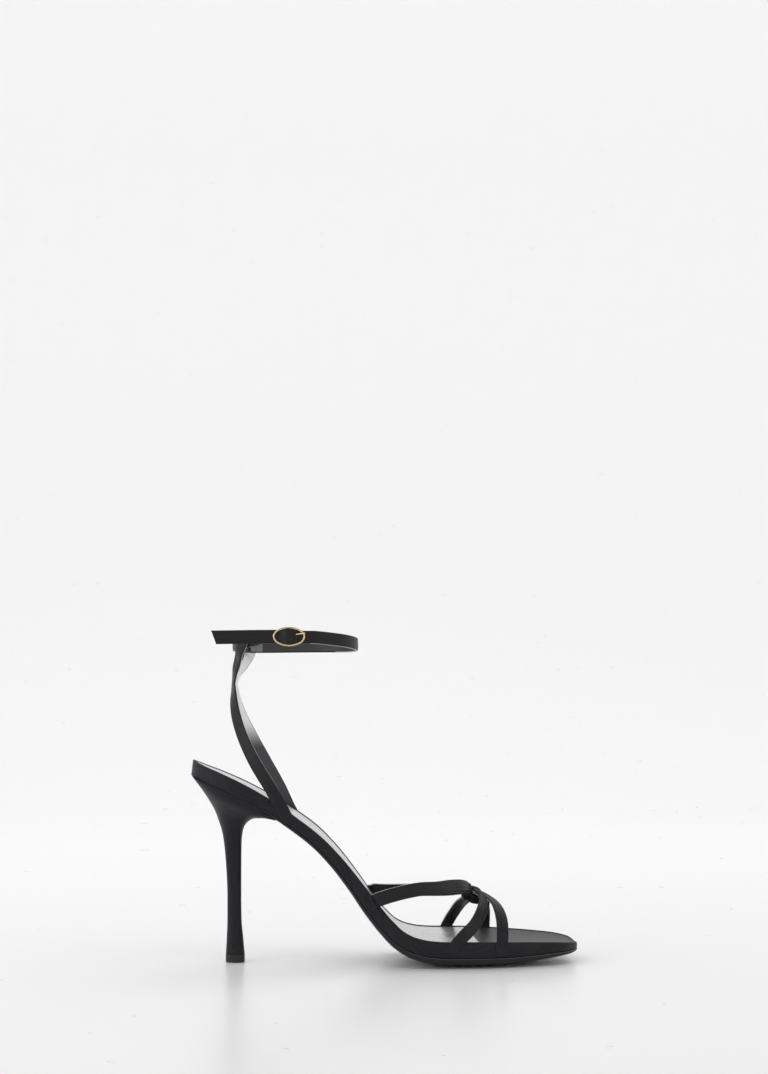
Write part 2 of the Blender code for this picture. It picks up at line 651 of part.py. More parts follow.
def collar_rings():
    """The rear strap's fold round the gathered stretch: a short closed sleeve along X, deeper than it is wide."""
    centre = above_bed(0.7145, 0.0, 0.80)
    half = 0.36 * VAMP_STRAP_WIDTH
    rings = []
    for place_x, size in ((-1.0, 0.88), (-0.8, 1.0), (0.8, 1.0), (1.0, 0.92)):
        ring = []
        for i in range(24):
            angle = 2 * math.pi * i / 24
            narrow = 1.0 - 0.22 * max(0.0, -math.sin(angle))
            y = 0.60 * VAMP_STRAP_WIDTH * size * math.cos(angle)
            z = 0.76 * VAMP_STRAP_WIDTH * size * math.sin(angle)
            ring.append(centre + np.array([half * place_x * narrow, y, z]))
        rings.append(ring)
    return rings


def ankle_point(angle, out=0.0):
    """A point of the ankle ring, with its outward direction. Angles in degrees: 0 front, -90 outer side."""
    turn = math.radians(angle)
    x = ANKLE_LENGTH / 2 * math.cos(turn)
    y = ANKLE_WIDTH / 2 * math.sin(turn)
    away = np.array([x / ANKLE_LENGTH**2, y / ANKLE_WIDTH**2, 0.0])
    away /= np.linalg.norm(away)
    point = np.array([(ANKLE_CENTRE - 0.5) * LENGTH + x, y, ankle_height(x, y)])
    return point + out * away, away


def ankle_height(x, y):
    """Height of the ankle strap's middle at a place from the ring's centre: higher outside, lower behind."""
    share = min(max(y / (ANKLE_WIDTH / 2), -1.0), 1.0)
    behind = 0.5 - x / ANKLE_LENGTH
    top = place(0.0, 0.001, section_thickness(0.0))[2]
    return top + ANKLE_RISE + ANKLE_TILT * (0.65 * share * share - share) - ANKLE_DROP * behind


def heel_branch(side, attach, rows, wrap_angle, slant, finish, name):
    """One branch of the heel strap: up from the sole's side, past the back of the ankle and over the ankle strap."""
    low = beside_sole(attach + 0.030, side, 0.36)
    high = beside_sole(attach, side, 0.88)
    width = HEEL_STRAP_WIDTH
    made = [
        (low, side_facing(attach + 0.030, side), width, STRAP_THICKNESS),
        (high, side_facing(attach, side), width, STRAP_THICKNESS),
    ]
    ankle_back = ankle_point(180)[0]
    for forward, across, lift, heading in rows:
        x = ankle_back[0] + forward * (high[0] - ankle_back[0])
        y = across * side * SEAT_WIDTH / 2
        z = high[2] + lift * (ankle_back[2] - high[2])
        made.append((np.array([x, y, z]), facing(heading * side, 4), width, STRAP_THICKNESS))
    clear = STRAP_THICKNESS + GAP
    top = ANKLE_STRAP_WIDTH / 2
    up = np.array([0.0, 0.0, 1.0])
    for out, rise, turn, outward, upward in (
        (1.30, -1.50, -1.0, 1.0, 0.0),
        (1.03, -0.80, -0.5, 1.0, 0.0),
        (1.03, 0.20, 0.0, 1.0, 0.0),
        (1.03, 0.84, 0.2, 1.0, 0.0),
        (0.76, 1.18, 0.3, 1.0, 1.0),
        (0.00, 1.34, 0.4, 0.0, 1.0),
        (-0.76, 1.18, 0.5, -1.0, 1.0),
        (-1.03, 0.84, 0.5, -1.0, 0.0),
        (-1.03, 0.20, 0.5, -1.0, 0.0),
        (-1.03, -0.80, 0.5, -1.0, 0.0),
    ):
        wrap, away = ankle_point(wrap_angle - side * turn * slant)
        point = wrap + out * clear * away + rise * top * up
        made.append((point, outward * away + upward * up, width, STRAP_THICKNESS))
    return make_strap(name, made, 0.0040, finish)


def make_heel_strap(finish):
    outer = heel_branch(
        -1, 0.2160,
        (
            (0.782, 1.030, 0.120, 106),
            (0.432, 0.880, 0.290, 119),
            (0.172, 0.650, 0.455, 131),
            (0.047, 0.450, 0.580, 138),
            (0.002, 0.250, 0.680, 152),
            (0.000, 0.100, 0.755, 168),
            (0.032, 0.290, 0.835, 156),
            (0.089, 0.460, 0.895, 146),
        ),
        217, 5.0, finish, "heel_strap",
    )
    inner = heel_branch(
        1, 0.2330,
        (
            (0.834, 1.020, 0.120, 106),
            (0.563, 0.880, 0.290, 119),
            (0.303, 0.650, 0.455, 131),
            (0.127, 0.450, 0.580, 138),
            (0.051, 0.250, 0.680, 152),
            (0.032, 0.100, 0.755, 170),
            (0.067, 0.330, 0.830, 158),
            (0.185, 0.590, 0.892, 145),
        ),
        136, 4.0, finish, "inner_branch",
    )
    return combine(outer, [inner], "UNION")


def buckle_centre():
    """Middle of the buckle's ring, outside the ankle strap on the outer side."""
    from_centre = -0.056 * ANKLE_LENGTH
    x = (ANKLE_CENTRE - 0.5) * LENGTH + from_centre
    y = -ANKLE_WIDTH / 2 - STRAP_THICKNESS - GAP - STRAP_CLEARANCE - BUCKLE_WIRE - STRAP_THICKNESS * 0.5
    return np.array([x, y, ankle_height(from_centre, y) + 0.0002])


def make_ankle_strap(finish):
    """The ankle strap from its end turned round the buckle's bar, round the ankle, through the ring to its tail."""
    centre = buckle_centre()
    bar = centre + np.array([0.0, BAR_CRANK, 0.0])
    layer = BAR_WIRE + STRAP_CLEARANCE + STRAP_THICKNESS / 2
    under_ring = centre[1] + BUCKLE_WIRE + STRAP_CLEARANCE + STRAP_THICKNESS / 2
    behind = under_ring + STRAP_THICKNESS + STRAP_CLEARANCE
    inmost = behind + STRAP_THICKNESS + STRAP_CLEARANCE
    side_x = BUCKLE_LENGTH / 2
    level = centre[2]
    rows = []

    def add(x, y, heading, z=level, wide=1.0):
        rows.append((np.array([x, y, z]), facing(heading, 0), wide * ANKLE_STRAP_WIDTH, STRAP_THICKNESS))

    add(bar[0] - 1.15 * side_x, inmost, 90)
    add(bar[0] - 0.50 * side_x, max(inmost - 0.0003, bar[1] + layer), 90)
    add(bar[0], bar[1] + layer, 80)
    add(bar[0] + 0.71 * layer, bar[1] + 0.71 * layer, 45)
    add(bar[0] + layer, bar[1], 0)
    add(bar[0] + 0.71 * layer, bar[1] - 0.71 * layer, -45)
    add(bar[0], bar[1] - layer, -85)
    add(bar[0] - 0.48 * side_x, 0.5 * (bar[1] - layer + behind), -100)
    add(bar[0] - 0.95 * side_x, behind, -95)
    add(bar[0] - 1.45 * side_x, behind + 0.0010, -105)
    for angle in range(226, -48, -15):
        point, away = ankle_point(angle)
        rows.append((point, away, ANKLE_STRAP_WIDTH, STRAP_THICKNESS))
    add(bar[0] + 1.60 * side_x, 0.5 * (under_ring - ANKLE_WIDTH / 2), -80)
    add(bar[0] + 1.00 * side_x, under_ring, -90)
    add(bar[0] + 0.56 * side_x, under_ring - 0.0002, -85, level, 1.06)
    over_bar = bar[1] - layer - STRAP_THICKNESS - STRAP_CLEARANCE
    add(bar[0] + 0.10 * side_x, over_bar, -90, level, 1.17)
    add(bar[0] - 0.10 * side_x, over_bar, -90, level, 1.17)
    add(bar[0] - 0.56 * side_x, under_ring - 0.0002, -95, level, 1.06)
    add(bar[0] - 1.00 * side_x, under_ring, -90)
    add(bar[0] - 0.55 * TAIL_LENGTH, under_ring - 0.0003, -90, level - 0.0004)
    add(bar[0] - TAIL_LENGTH, under_ring - 0.0002, -90, level - 0.0007)
    band = make_strap("ankle_strap", rows, 0.0034, finish, TAIL_SLANT)

    slot_half = PRONG_WIRE + STRAP_CLEARANCE
    middle = level + PRONG_LIFT
    chape = box("chape_slot", (bar[0] - 1.35 * layer, bar[1] - 1.35 * layer, middle - slot_half),
                (bar[0] + 1.6 * layer, bar[1] + 1.6 * layer, middle + slot_half), finish)
    hole = box("prong_hole", (bar[0] + 0.0008, over_bar - STRAP_THICKNESS, middle - slot_half),
               (bar[0] + 0.0040, bar[1], middle + slot_half), finish)
    return combine(band, [chape, hole], "DIFFERENCE")


def box(name, low, high, finish):
    low = np.array(low)
    high = np.array(high)
    rings = []
    for z in (low[2], high[2]):
        rings.append([(low[0], low[1], z), (high[0], low[1], z), (high[0], high[1], z), (low[0], high[1], z)])
    return add_object(name, skin(name, rings), finish)


def tube(name, points, radius, sides, finish, square_to, closed=False):
    """A round wire through points that lie close together, in a plane that square_to is square to."""
    points = np.array(points)
    if closed:
        ahead = np.roll(points, -1, axis=0) - np.roll(points, 1, axis=0)
    else:
        ahead = np.gradient(points, axis=0)
    rings = []
    reference = np.array(square_to)
    for point, direction in zip(points, ahead):
        direction = direction / np.linalg.norm(direction)
        first = reference - direction * np.dot(reference, direction)
        first /= np.linalg.norm(first)
        second = np.cross(direction, first)
        turns = [2 * math.pi * i / sides for i in range(sides)]
        rings.append([point + radius * (math.cos(a) * first + math.sin(a) * second) for a in turns])
    return add_object(name, skin(name, rings, closed), finish)


def make_buckle_frame(finish):
    """The oval ring with its centre bar, which is cranked towards the ankle."""
    centre = buckle_centre()
    across = BUCKLE_LENGTH / 2 - BUCKLE_WIRE
    tall = BUCKLE_HEIGHT / 2 - BUCKLE_WIRE
    turns = [2 * math.pi * i / 44 for i in range(44)]
    oval = [centre + np.array([across * math.cos(a), 0.0, tall * math.sin(a)]) for a in turns]
    ring = tube("buckle_frame", oval, BUCKLE_WIRE, 10, finish, (0.0, 1.0, 0.0), closed=True)
    inner = ANKLE_STRAP_WIDTH / 2 + STRAP_CLEARANCE + BAR_WIRE
    route = []
    for share in np.linspace(-1, 1, 21):
        height = share * tall
        crank = BAR_CRANK * min(1.0, (1 - abs(share)) * tall / max(tall - inner, 0.0004) * 0.75)
        route.append(centre + np.array([0.0, crank, height]))
    bar = tube("bar", route, BAR_WIRE, 10, finish, (1.0, 0.0, 0.0))
    return combine(ring, [bar], "UNION")


def make_prong(finish):
    """The prong: an eye round the bar and a pin that rests on the ring's front side."""
    centre = buckle_centre()
    bar = centre + np.array([0.0, BAR_CRANK, PRONG_LIFT])
    eye = BAR_WIRE + STRAP_CLEARANCE + PRONG_WIRE
    turns = [2 * math.pi * i / 20 for i in range(20)]
    circle = [bar + eye * np.array([math.cos(a), math.sin(a), 0.0]) for a in turns]
    loop = tube("buckle_prong", circle, PRONG_WIRE, 8, finish, (0.0, 0.0, 1.0), closed=True)
    rest = centre[1] - BUCKLE_WIRE - STRAP_CLEARANCE - PRONG_WIRE
    reach = BUCKLE_LENGTH / 2
    route = []
    for share in np.linspace(0, 1, 12):
        x = bar[0] + share * reach
        ease = math.sin(math.pi / 2 * share) ** 1.15
        y = (bar[1] - eye) * (1 - ease) + rest * ease
        route.append((x, y, bar[2]))
    pin = tube("pin", route, PRONG_WIRE, 8, finish, (0.0, 0.0, 1.0))
    return combine(loop, [pin], "UNION")


def centre_in_plan():
    """Move all the pieces together, so that the middle of their box in X and Y is the origin."""
    corners = [np.array(corner) for made in bpy.data.objects for corner in made.bound_box]
    middle = (np.min(corners, axis=0) + np.max(corners, axis=0)) / 2
    for made in bpy.data.objects:
        made.data.transform(Matrix.Translation((-middle[0], -middle[1], 0.0)))


def main():
    for old in list(bpy.data.objects):
        bpy.data.objects.remove(old)
    satin = material("black_satin", SATIN_BLACK, 0.5)
    lining = material("silver_lining", LINING_SILVER, 0.25)
    outsole = material("outsole_black", OUTSOLE_BLACK, 0.35)
    rubber = material("tip_rubber", RUBBER_BLACK, 0.6)
    gold = material("gold", GOLD, 0.2, 1.0)
    make_footbed(satin)
    make_outsole(outsole)
    make_lining("sock_lining", LINING_ENDS / LENGTH, LINING_SPLIT, 24, lining)
    make_lining("toe_sock", LINING_SPLIT + GAP / LENGTH, 1 - LINING_ENDS / LENGTH, 8, satin)
    make_heel(satin)
    make_heel_tip(rubber)
    make_vamp(satin)
    make_heel_strap(satin)
    make_ankle_strap(satin)
    make_buckle_frame(gold)
    make_prong(gold)
    centre_in_plan()


main()
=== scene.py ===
# %% [markdown]
# # A strappy evening sandal in black satin
# The solids of the sandal come from the imported frame, in metres, with the floor at z = 0. This lesson
# gives the sandal its cloth, lining, sole and metal. The faceted solids are replaced by finer pieces of
# the same shape and in the same place, then come a pale studio floor, soft lights and the camera. Nothing
# here changes the size of the sandal.

# %% Load the frame
import math

import bmesh
import bpy
import numpy as np
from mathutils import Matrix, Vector


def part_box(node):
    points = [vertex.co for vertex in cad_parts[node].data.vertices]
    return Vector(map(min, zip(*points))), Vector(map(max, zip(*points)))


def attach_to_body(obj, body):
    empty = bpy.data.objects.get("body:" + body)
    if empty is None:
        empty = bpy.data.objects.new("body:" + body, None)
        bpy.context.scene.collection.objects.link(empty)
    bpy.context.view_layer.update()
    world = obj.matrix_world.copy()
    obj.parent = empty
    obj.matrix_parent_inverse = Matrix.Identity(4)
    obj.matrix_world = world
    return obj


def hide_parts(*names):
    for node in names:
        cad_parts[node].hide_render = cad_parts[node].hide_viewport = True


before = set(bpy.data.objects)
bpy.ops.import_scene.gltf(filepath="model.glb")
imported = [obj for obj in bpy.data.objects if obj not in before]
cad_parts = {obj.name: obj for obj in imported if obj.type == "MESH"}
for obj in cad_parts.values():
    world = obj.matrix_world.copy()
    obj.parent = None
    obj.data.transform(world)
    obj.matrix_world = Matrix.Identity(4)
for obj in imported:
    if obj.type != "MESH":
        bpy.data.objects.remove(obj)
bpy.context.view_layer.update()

# %% [markdown]
# ## Colours and nodes
# Colours are written as sRGB hex values, as a colour picker shows them, while Blender's shaders work with
# linear light. One function turns the first into the second. Another one adds a shader node with its
# settings and links, so that each material below reads as a short recipe.

# %% Helpers for materials
def linear(code):
    """Linear RGBA from an sRGB hex code such as 2b2b2d."""
    shares = [int(code[i:i + 2], 16) / 255 for i in (0, 2, 4)]
    return (*[s / 12.92 if s <= 0.04045 else ((s + 0.055) / 1.055) ** 2.4 for s in shares], 1.0)


def node(tree, kind, inputs=None, **settings):
    """Add one node. Inputs are values, or sockets of other nodes that are linked to it."""
    made = tree.nodes.new(kind)
    for name, value in settings.items():
        setattr(made, name, value)
    for socket, value in (inputs or {}).items():
        if isinstance(value, bpy.types.NodeSocket):
            tree.links.new(value, made.inputs[socket])
        else:
            made.inputs[socket].default_value = value
    return made


def new_material(name, code, roughness, **sockets):
    """A material with its main shader set, and the tree and shader to add detail to."""
    made = bpy.data.materials.new(name)
    made.use_nodes = True
    shader = made.node_tree.nodes["Principled BSDF"]
    shader.inputs["Base Color"].default_value = linear(code)
    shader.inputs["Roughness"].default_value = roughness
    for socket, value in sockets.items():
        shader.inputs[socket.replace("_", " ")].default_value = value
    return made, made.node_tree, shader


def vary_gloss(tree, shader, noise, low, high, **limits):
    """Let a noise move the roughness between two values."""
    ends = {key.replace("_", " "): value for key, value in limits.items()}
    gloss = node(tree, "ShaderNodeMapRange", {
        "Value": noise.outputs["Fac"], "To Min": low, "To Max": high, **ends})
    tree.links.new(gloss.outputs["Result"], shader.inputs["Roughness"])


def mix_colours(tree, shader, share, low, high):
    """Mix the base colour from two linear colours by a share."""
    colour = node(tree, "ShaderNodeMix", {"Factor": share, "A": low, "B": high}, data_type="RGBA")
    tree.links.new(colour.outputs[2], shader.inputs["Base Color"])


def add_bump(tree, shader, height, strength, depth):
    """Press a height into the surface, its depth in metres."""
    bump = node(tree, "ShaderNodeBump", {"Height": height, "Strength": strength, "Distance": depth})
    tree.links.new(bump.outputs["Normal"], shader.inputs["Normal"])


print("helpers ready, black satin in linear light:", linear("1c1c1e"))

# %% [markdown]
# ## Black satin
# Satin is woven so that long warp floats cover the face. It looks smooth, and its gloss runs along the
# floats in fine streaks. Every piece below has a UV map in metres, u along the strap or the sole and v
# across it, so a noise that is stretched along u gives the floats. A second, wider noise varies the gloss
# and the tone in soft streaks. The real floats lie about 0.1 mm apart, far below a pixel here, so they are
# drawn 0.3 mm apart. A photograph of satin would give the same look from near, but it would repeat, and it
# would blur where a strap is narrow.

# %% Satin
FLOAT_SPACING = 0.0003
FLOAT_LENGTH = 0.009
STREAK_SPACING = 0.0009
STREAK_LENGTH = 0.03


def satin(name, code, roughness, specular, streak):
    """Satin with its floats along u. The streak is how much the roughness changes from streak to streak."""
    made, tree, shader = new_material(
        name, code, roughness, Specular_IOR_Level=specular, Sheen_Weight=0.03, Sheen_Roughness=0.35)
    cloth = node(tree, "ShaderNodeTexCoord").outputs["UV"]
    along_floats = node(tree, "ShaderNodeMapping", {
        "Vector": cloth, "Scale": (1 / FLOAT_LENGTH, 1 / FLOAT_SPACING, 1.0)}).outputs["Vector"]
    floats = node(tree, "ShaderNodeTexNoise", {"Vector": along_floats, "Scale": 1.0, "Detail": 3.0})
    wide_streaks = node(tree, "ShaderNodeMapping", {
        "Vector": cloth, "Scale": (1 / STREAK_LENGTH, 1 / STREAK_SPACING, 1.0)}).outputs["Vector"]
    streaks = node(tree, "ShaderNodeTexNoise", {"Vector": wide_streaks, "Scale": 1.0, "Detail": 4.0})
    vary_gloss(tree, shader, streaks, roughness - streak, roughness + streak, From_Min=0.3, From_Max=0.7)
    dark, light = ((*[tone * value for value in linear(code)[:3]], 1.0) for tone in (0.65, 1.5))
    share = node(tree, "ShaderNodeMapRange", {
        "Value": streaks.outputs["Fac"], "From Min": 0.32, "From Max": 0.68})
    mix_colours(tree, shader, share.outputs["Result"], dark, light)
    add_bump(tree, shader, floats.outputs["Fac"], 0.25, 0.00006)
    return made


# The straps shine most. The cover of sole and heel is duller, and so is the sock under the toes.
strap_satin = satin("black_satin_straps", "17171a", 0.40, 0.22, 0.08)
cover_satin = satin("black_satin_cover", "1c1c20", 0.50, 0.18, 0.03)
sock_satin = satin("black_satin_sock", "1c1c21", 0.46, 0.18, 0.03)
print("satin floats drawn every", FLOAT_SPACING * 1000, "mm")

# %% [markdown]
# ## Silver lining
# The insole is lined with a thin leather that has a silver-grey coat. The coat is smooth, so it mirrors
# the straps and the room softly. A fine pebble keeps it from looking like sheet metal. The straps have the
# same leather inside, with a stronger pebble, because a strap bends it. The lining of the inner heel branch
# has painted shade: its colour darkens to charcoal towards the sole, in place of the shade and the dark
# reflections on its lower part. The ankle strap is charcoal inside. The painted shade follows the height
# over the floor, which is simpler than a mask painted as an image.

# %% Lining
def coated_lining(name, code, roughness, metallic, pebble_size, depth):
    """Coated leather with a pebble of a size and a depth, both in metres."""
    made, tree, shader = new_material(name, code, roughness, Metallic=metallic)
    leather = node(tree, "ShaderNodeTexCoord").outputs["UV"]
    pebble = node(tree, "ShaderNodeTexVoronoi", {"Vector": leather, "Scale": 1 / pebble_size})
    cloud = node(tree, "ShaderNodeTexNoise", {"Vector": leather, "Scale": 60.0, "Detail": 3.0})
    vary_gloss(tree, shader, cloud, roughness - 0.05, roughness + 0.05)
    add_bump(tree, shader, pebble.outputs["Distance"], 0.15, depth)
    return made


def lining_with_painted_shade(name, code, shade_code, low, high):
    """The strap lining, its colour above the high level and a painted shade below the low one, in metres."""
    made = coated_lining(name, code, 0.42, 0.3, 0.0007, 0.00012)
    tree = made.node_tree
    surface = node(tree, "ShaderNodeTexCoord").outputs["Object"]
    height = node(tree, "ShaderNodeSeparateXYZ", {"Vector": surface}).outputs["Z"]
    share = node(tree, "ShaderNodeMapRange", {
        "Value": height, "From Min": low, "From Max": high}, interpolation_type="SMOOTHSTEP")
    shader = tree.nodes["Principled BSDF"]
    # painted shade: the colour darkens to charcoal below the low level
    mix_colours(tree, shader, share.outputs["Result"], linear(shade_code), linear(code))
    return made


insole_silver = coated_lining("silver_coated_insole", "c9c9cb", 0.27, 0.6, 0.0011, 0.00004)
strap_silver = coated_lining("silver_coated_strap_lining", "c4c4c6", 0.42, 0.3, 0.0007, 0.00012)
# painted shade on the inner branch's lining, charcoal below 0.118 m over the floor
strap_lining_painted_shade = lining_with_painted_shade("strap_lining_with_painted_shade", "e4e4e6", "3c3c3f", 0.118, 0.136)
loop_end_grey = coated_lining("grey_loop_end", "747477", 0.45, 0.2, 0.0009, 0.00025)
strap_charcoal = coated_lining("charcoal_strap_facing", "343437", 0.40, 0.1, 0.0007, 0.00008)
print("linings are silver, faded, grey and charcoal")

# %% [markdown]
# ## Sole, heel tip and metal
# The outsole is smooth leather, painted black. Its polished edge is given a greyer colour, a painted
# highlight, so the edge reads as catching the light. The heel tip is moulded hard rubber and stays dull.
# The buckle is polished and plated metal, so its colour is in the reflection and its roughness is low. One
# recipe with a fine noise serves all of them.

# %% Sole, rubber and gold
def plain_finish(name, code, roughness, scale, depth, **sockets):
    """A finish with a fine noise in gloss and surface, its scale in marks per metre, depth in metres."""
    made, tree, shader = new_material(name, code, roughness, **sockets)
    surface = node(tree, "ShaderNodeTexCoord").outputs["Object"]
    grain = node(tree, "ShaderNodeTexNoise", {"Vector": surface, "Scale": scale, "Detail": 5.0})
    vary_gloss(tree, shader, grain, roughness * 0.8, roughness * 1.2)
    add_bump(tree, shader, grain.outputs["Fac"], 0.2, depth)
    return made


painted_sole = plain_finish("painted_sole_leather", "111112", 0.50, 700.0, 0.00005, Specular_IOR_Level=0.3)
# the greyer colour of the sole's round edge is a painted highlight
sole_edge_painted_highlight = plain_finish("sole_edge_with_painted_highlight", "3c3c3e", 0.35, 700.0, 0.00002)
moulded_rubber = plain_finish("moulded_rubber_tip", "101011", 0.55, 1500.0, 0.00008)
polished_gold = plain_finish("polished_gold_plate", "d2b88e", 0.14, 900.0, 0.00001, Metallic=1.0)
stitch_thread = plain_finish("stitch_thread", "3a3a3c", 0.6, 2500.0, 0.00005)
print("sole, rubber, gold and thread are ready")

# %% [markdown]
# ## The last
# A shoe is made on a last, a wooden or plastic foot. The sole follows it, so one table of sections from
# back to front gives the footbed, the outsole and the linings their shape. These are the same values as
# those of the solids, and here the curve through them is divided much more finely, so that no facet shows.

# %% Sizes of the sole, in metres
LENGTH = 0.2150
BALL_WIDTH = 0.0755
SEAT_WIDTH = 0.0530
SEAT_LIFT = 0.1042
SOLE_THICKNESS = 0.0146
TOE_SPRING = 0.0056
TOE_CORNER = 0.0116
SEAT_ROUND = 0.0273
ARCH_RAISE = 0.0030
SOLE_ROLL = 0.0031
FOOTBED_EDGE = 0.0010
SEAT_CUP = 0.0009
LINING_THICKNESS = 0.0009
LINING_INSET = 0.0016
LINING_ENDS = 0.0019
RIM_HEIGHT = 0.0003
LINING_SPLIT = 0.7330
GAP = 0.0003
BED_START = (LINING_ENDS - GAP) / LENGTH
SEAT_SHARE = 0.702

LAST_COLUMNS = ("along", "lift", "spring", "thick", "lean", "outer", "inner", "under", "arch")
LAST_ROWS = (
    (0.000, 1.0000, 0.00, 0.589, 6, 0.690, 0.690, 0.00, 0.0),
    (0.026, 0.9730, 0.00, 0.582, 14, 0.695, 0.695, 0.00, 0.0),
    (0.068, 0.9370, 0.00, 0.575, 21, 0.700, 0.700, 0.00, 0.0),
    (0.130, 0.8760, 0.00, 0.568, 28, 0.702, 0.702, 0.05, 0.1),
    (0.191, 0.8020, 0.00, 0.562, 33, 0.684, 0.678, 0.17, 0.4),
    (0.254, 0.7110, 0.00, 0.555, 38, 0.636, 0.622, 0.20, 0.8),
    (0.312, 0.6150, 0.00, 0.555, 43, 0.594, 0.560, 0.20, 1.0),
    (0.360, 0.5090, 0.00, 0.568, 49, 0.590, 0.548, 0.20, 0.9),
    (0.404, 0.3900, 0.00, 0.603, 52, 0.634, 0.590, 0.20, 0.6),
    (0.443, 0.2720, 0.00, 0.658, 50, 0.720, 0.690, 0.21, 0.2),
    (0.480, 0.1740, 0.00, 0.705, 43, 0.808, 0.796, 0.24, 0.0),
    (0.515, 0.0970, 0.00, 0.774, 31, 0.878, 0.880, 0.29, 0.0),
    (0.557, 0.0410, 0.00, 0.884, 17, 0.934, 0.944, 0.34, 0.0),
    (0.604, 0.0105, 0.00, 0.966, 7, 0.970, 0.986, 0.37, 0.0),
    (0.654, 0.0000, 0.00, 1.000, 0, 0.988, 1.012, 0.385, 0.0),
    (0.710, 0.0000, 0.00, 0.993, 0, 0.988, 1.006, 0.385, 0.0),
    (0.770, 0.0000, 0.00, 0.973, 0, 0.954, 0.962, 0.385, 0.0),
    (0.817, 0.0000, 0.06, 0.928, 0, 0.893, 0.901, 0.385, 0.0),
    (0.863, 0.0000, 0.23, 0.836, 0, 0.822, 0.822, 0.385, 0.0),
    (0.910, 0.0000, 0.46, 0.712, 0, 0.737, 0.732, 0.380, 0.0),
    (0.952, 0.0000, 0.71, 0.575, 0, 0.641, 0.636, 0.370, 0.0),
    (0.985, 0.0000, 0.92, 0.432, 0, 0.556, 0.562, 0.365, 0.0),
    (0.995, 0.0000, 1.05, 0.350, 0, 0.530, 0.538, 0.360, 0.0),
    (1.000, 0.0000, 1.25, 0.230, 0, 0.517, 0.525, 0.360, 0.0),
)
PLACES = [row[0] for row in LAST_ROWS]
COLUMNS = {name: [row[i] for row in LAST_ROWS] for i, name in enumerate(LAST_COLUMNS)}


# %% The curve through a table
def smooth_through(places, values, wanted):
    """Values at the wanted places on a smooth curve that never overshoots its rows."""
    places = np.asarray(places, dtype=float)
    values = np.asarray(values, dtype=float)
    steps = np.diff(places)
    slopes = np.diff(values) / steps
    tangents = np.zeros_like(values)
    for i in range(1, len(places) - 1):
        if slopes[i - 1] * slopes[i] > 0:
            before = 2 * steps[i] + steps[i - 1]
            after = steps[i] + 2 * steps[i - 1]
            tangents[i] = (before + after) / (before / slopes[i - 1] + after / slopes[i])
    tangents[0] = slopes[0]
    tangents[-1] = slopes[-1]
    wanted = np.clip(wanted, places[0], places[-1])
    i = np.clip(np.searchsorted(places, wanted) - 1, 0, len(steps) - 1)
    t = (wanted - places[i]) / steps[i]
    start = (1 + 2 * t) * (1 - t) ** 2 * values[i] + t * (1 - t) ** 2 * steps[i] * tangents[i]
    end = t * t * (3 - 2 * t) * values[i + 1] - t * t * (1 - t) * steps[i] * tangents[i + 1]
    return start + end


FINE_PLACES = np.linspace(0, 1, 4001)
FINE_COLUMNS = {name: smooth_through(PLACES, COLUMNS[name], FINE_PLACES) for name in LAST_COLUMNS}


def last_value(name, along):
    """One column of the last's table at a share of the length."""
    return float(np.interp(along, FINE_PLACES, FINE_COLUMNS[name]))


# %% Points of the sole
def half_width(along, side, inset=0.0):
    """Distance from the middle line to the sole's edge, with the round heel end and the toe's corners."""
    share = last_value("outer" if side < 0 else "inner", along)
    seat_fade = min(1.0, max(0.0, (0.30 - along) / 0.15))
    share *= 1 + seat_fade * (SEAT_WIDTH / BALL_WIDTH / SEAT_SHARE - 1)
    width = share * BALL_WIDTH / 2 - inset
    from_back = along * LENGTH - inset
    if from_back < SEAT_ROUND - inset:
        reach = 1 - max(from_back, 0.0) / (SEAT_ROUND - inset)
        width *= math.sqrt(max(0.0, 1 - reach * reach))
    from_tip = (1 - along) * LENGTH - inset
    corner = TOE_CORNER - inset
    if from_tip < corner:
        reach = corner - max(from_tip, 0.0)
        width -= corner - math.sqrt(max(0.0, corner * corner - reach * reach))
    return width


def section_thickness(along):
    return SOLE_THICKNESS * last_value("thick", along)


def place(along, across, height):
    """A point of the sole: across from the middle line, and height over the underside."""
    lean = math.radians(last_value("lean", along))
    side_share = across / half_width(min(max(along, 0.02), 0.97), math.copysign(1, across))
    raised = ARCH_RAISE * last_value("arch", along) * (0.5 + 0.5 * side_share)
    x = (along - 0.5) * LENGTH + height * math.sin(lean)
    z = SEAT_LIFT * last_value("lift", along) + TOE_SPRING * last_value("spring", along)
    return np.array([x, across, z + height * math.cos(lean) + raised])


def stations(first, last, spacing):
    """Shares of the length from first to last, closer at the round ends. The spacing is in metres."""
    heel_end = SEAT_ROUND / LENGTH
    toe_end = 1 - TOE_CORNER / LENGTH
    made = []
    if first < heel_end:
        start = math.acos(1 - first / heel_end)
        count = max(4, round(SEAT_ROUND * 1.6 / spacing))
        made += [heel_end * (1 - math.cos(a)) for a in np.linspace(start, math.pi / 2, count)[:-1]]
        first = heel_end
    stop = min(last, toe_end)
    made += list(np.linspace(first, stop, max(3, round((stop - first) * LENGTH / spacing))))
    if last > toe_end:
        end = math.asin((last - toe_end) / (1 - toe_end))
        count = max(8, round(TOE_CORNER * 2.6 / spacing))
        made += [toe_end + (1 - toe_end) * math.sin(a) for a in np.linspace(0, end, count)[1:]]
    return made


print("ball of the sole is", round(1000 * (half_width(0.66, -1) + half_width(0.66, 1)), 1), "mm wide")

# %% [markdown]
# ## From rings to a mesh
# Each piece is a row of rings of points, joined by faces as a skin. The skin's UV map is in metres: u is
# the distance along the row and v the distance round the ring. The solids were centred in plan after they
# were made, so the heel tip's box says how far every point here has to move as well.

# %% Skin
HEEL_SETBACK = 0.0192
tip_low, tip_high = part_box("heel_tip")
SHIFT = np.array([tip_low[0] - (HEEL_SETBACK - LENGTH / 2), (tip_low[1] + tip_high[1]) / 2, 0.0])


SHARP_ANGLE = 38


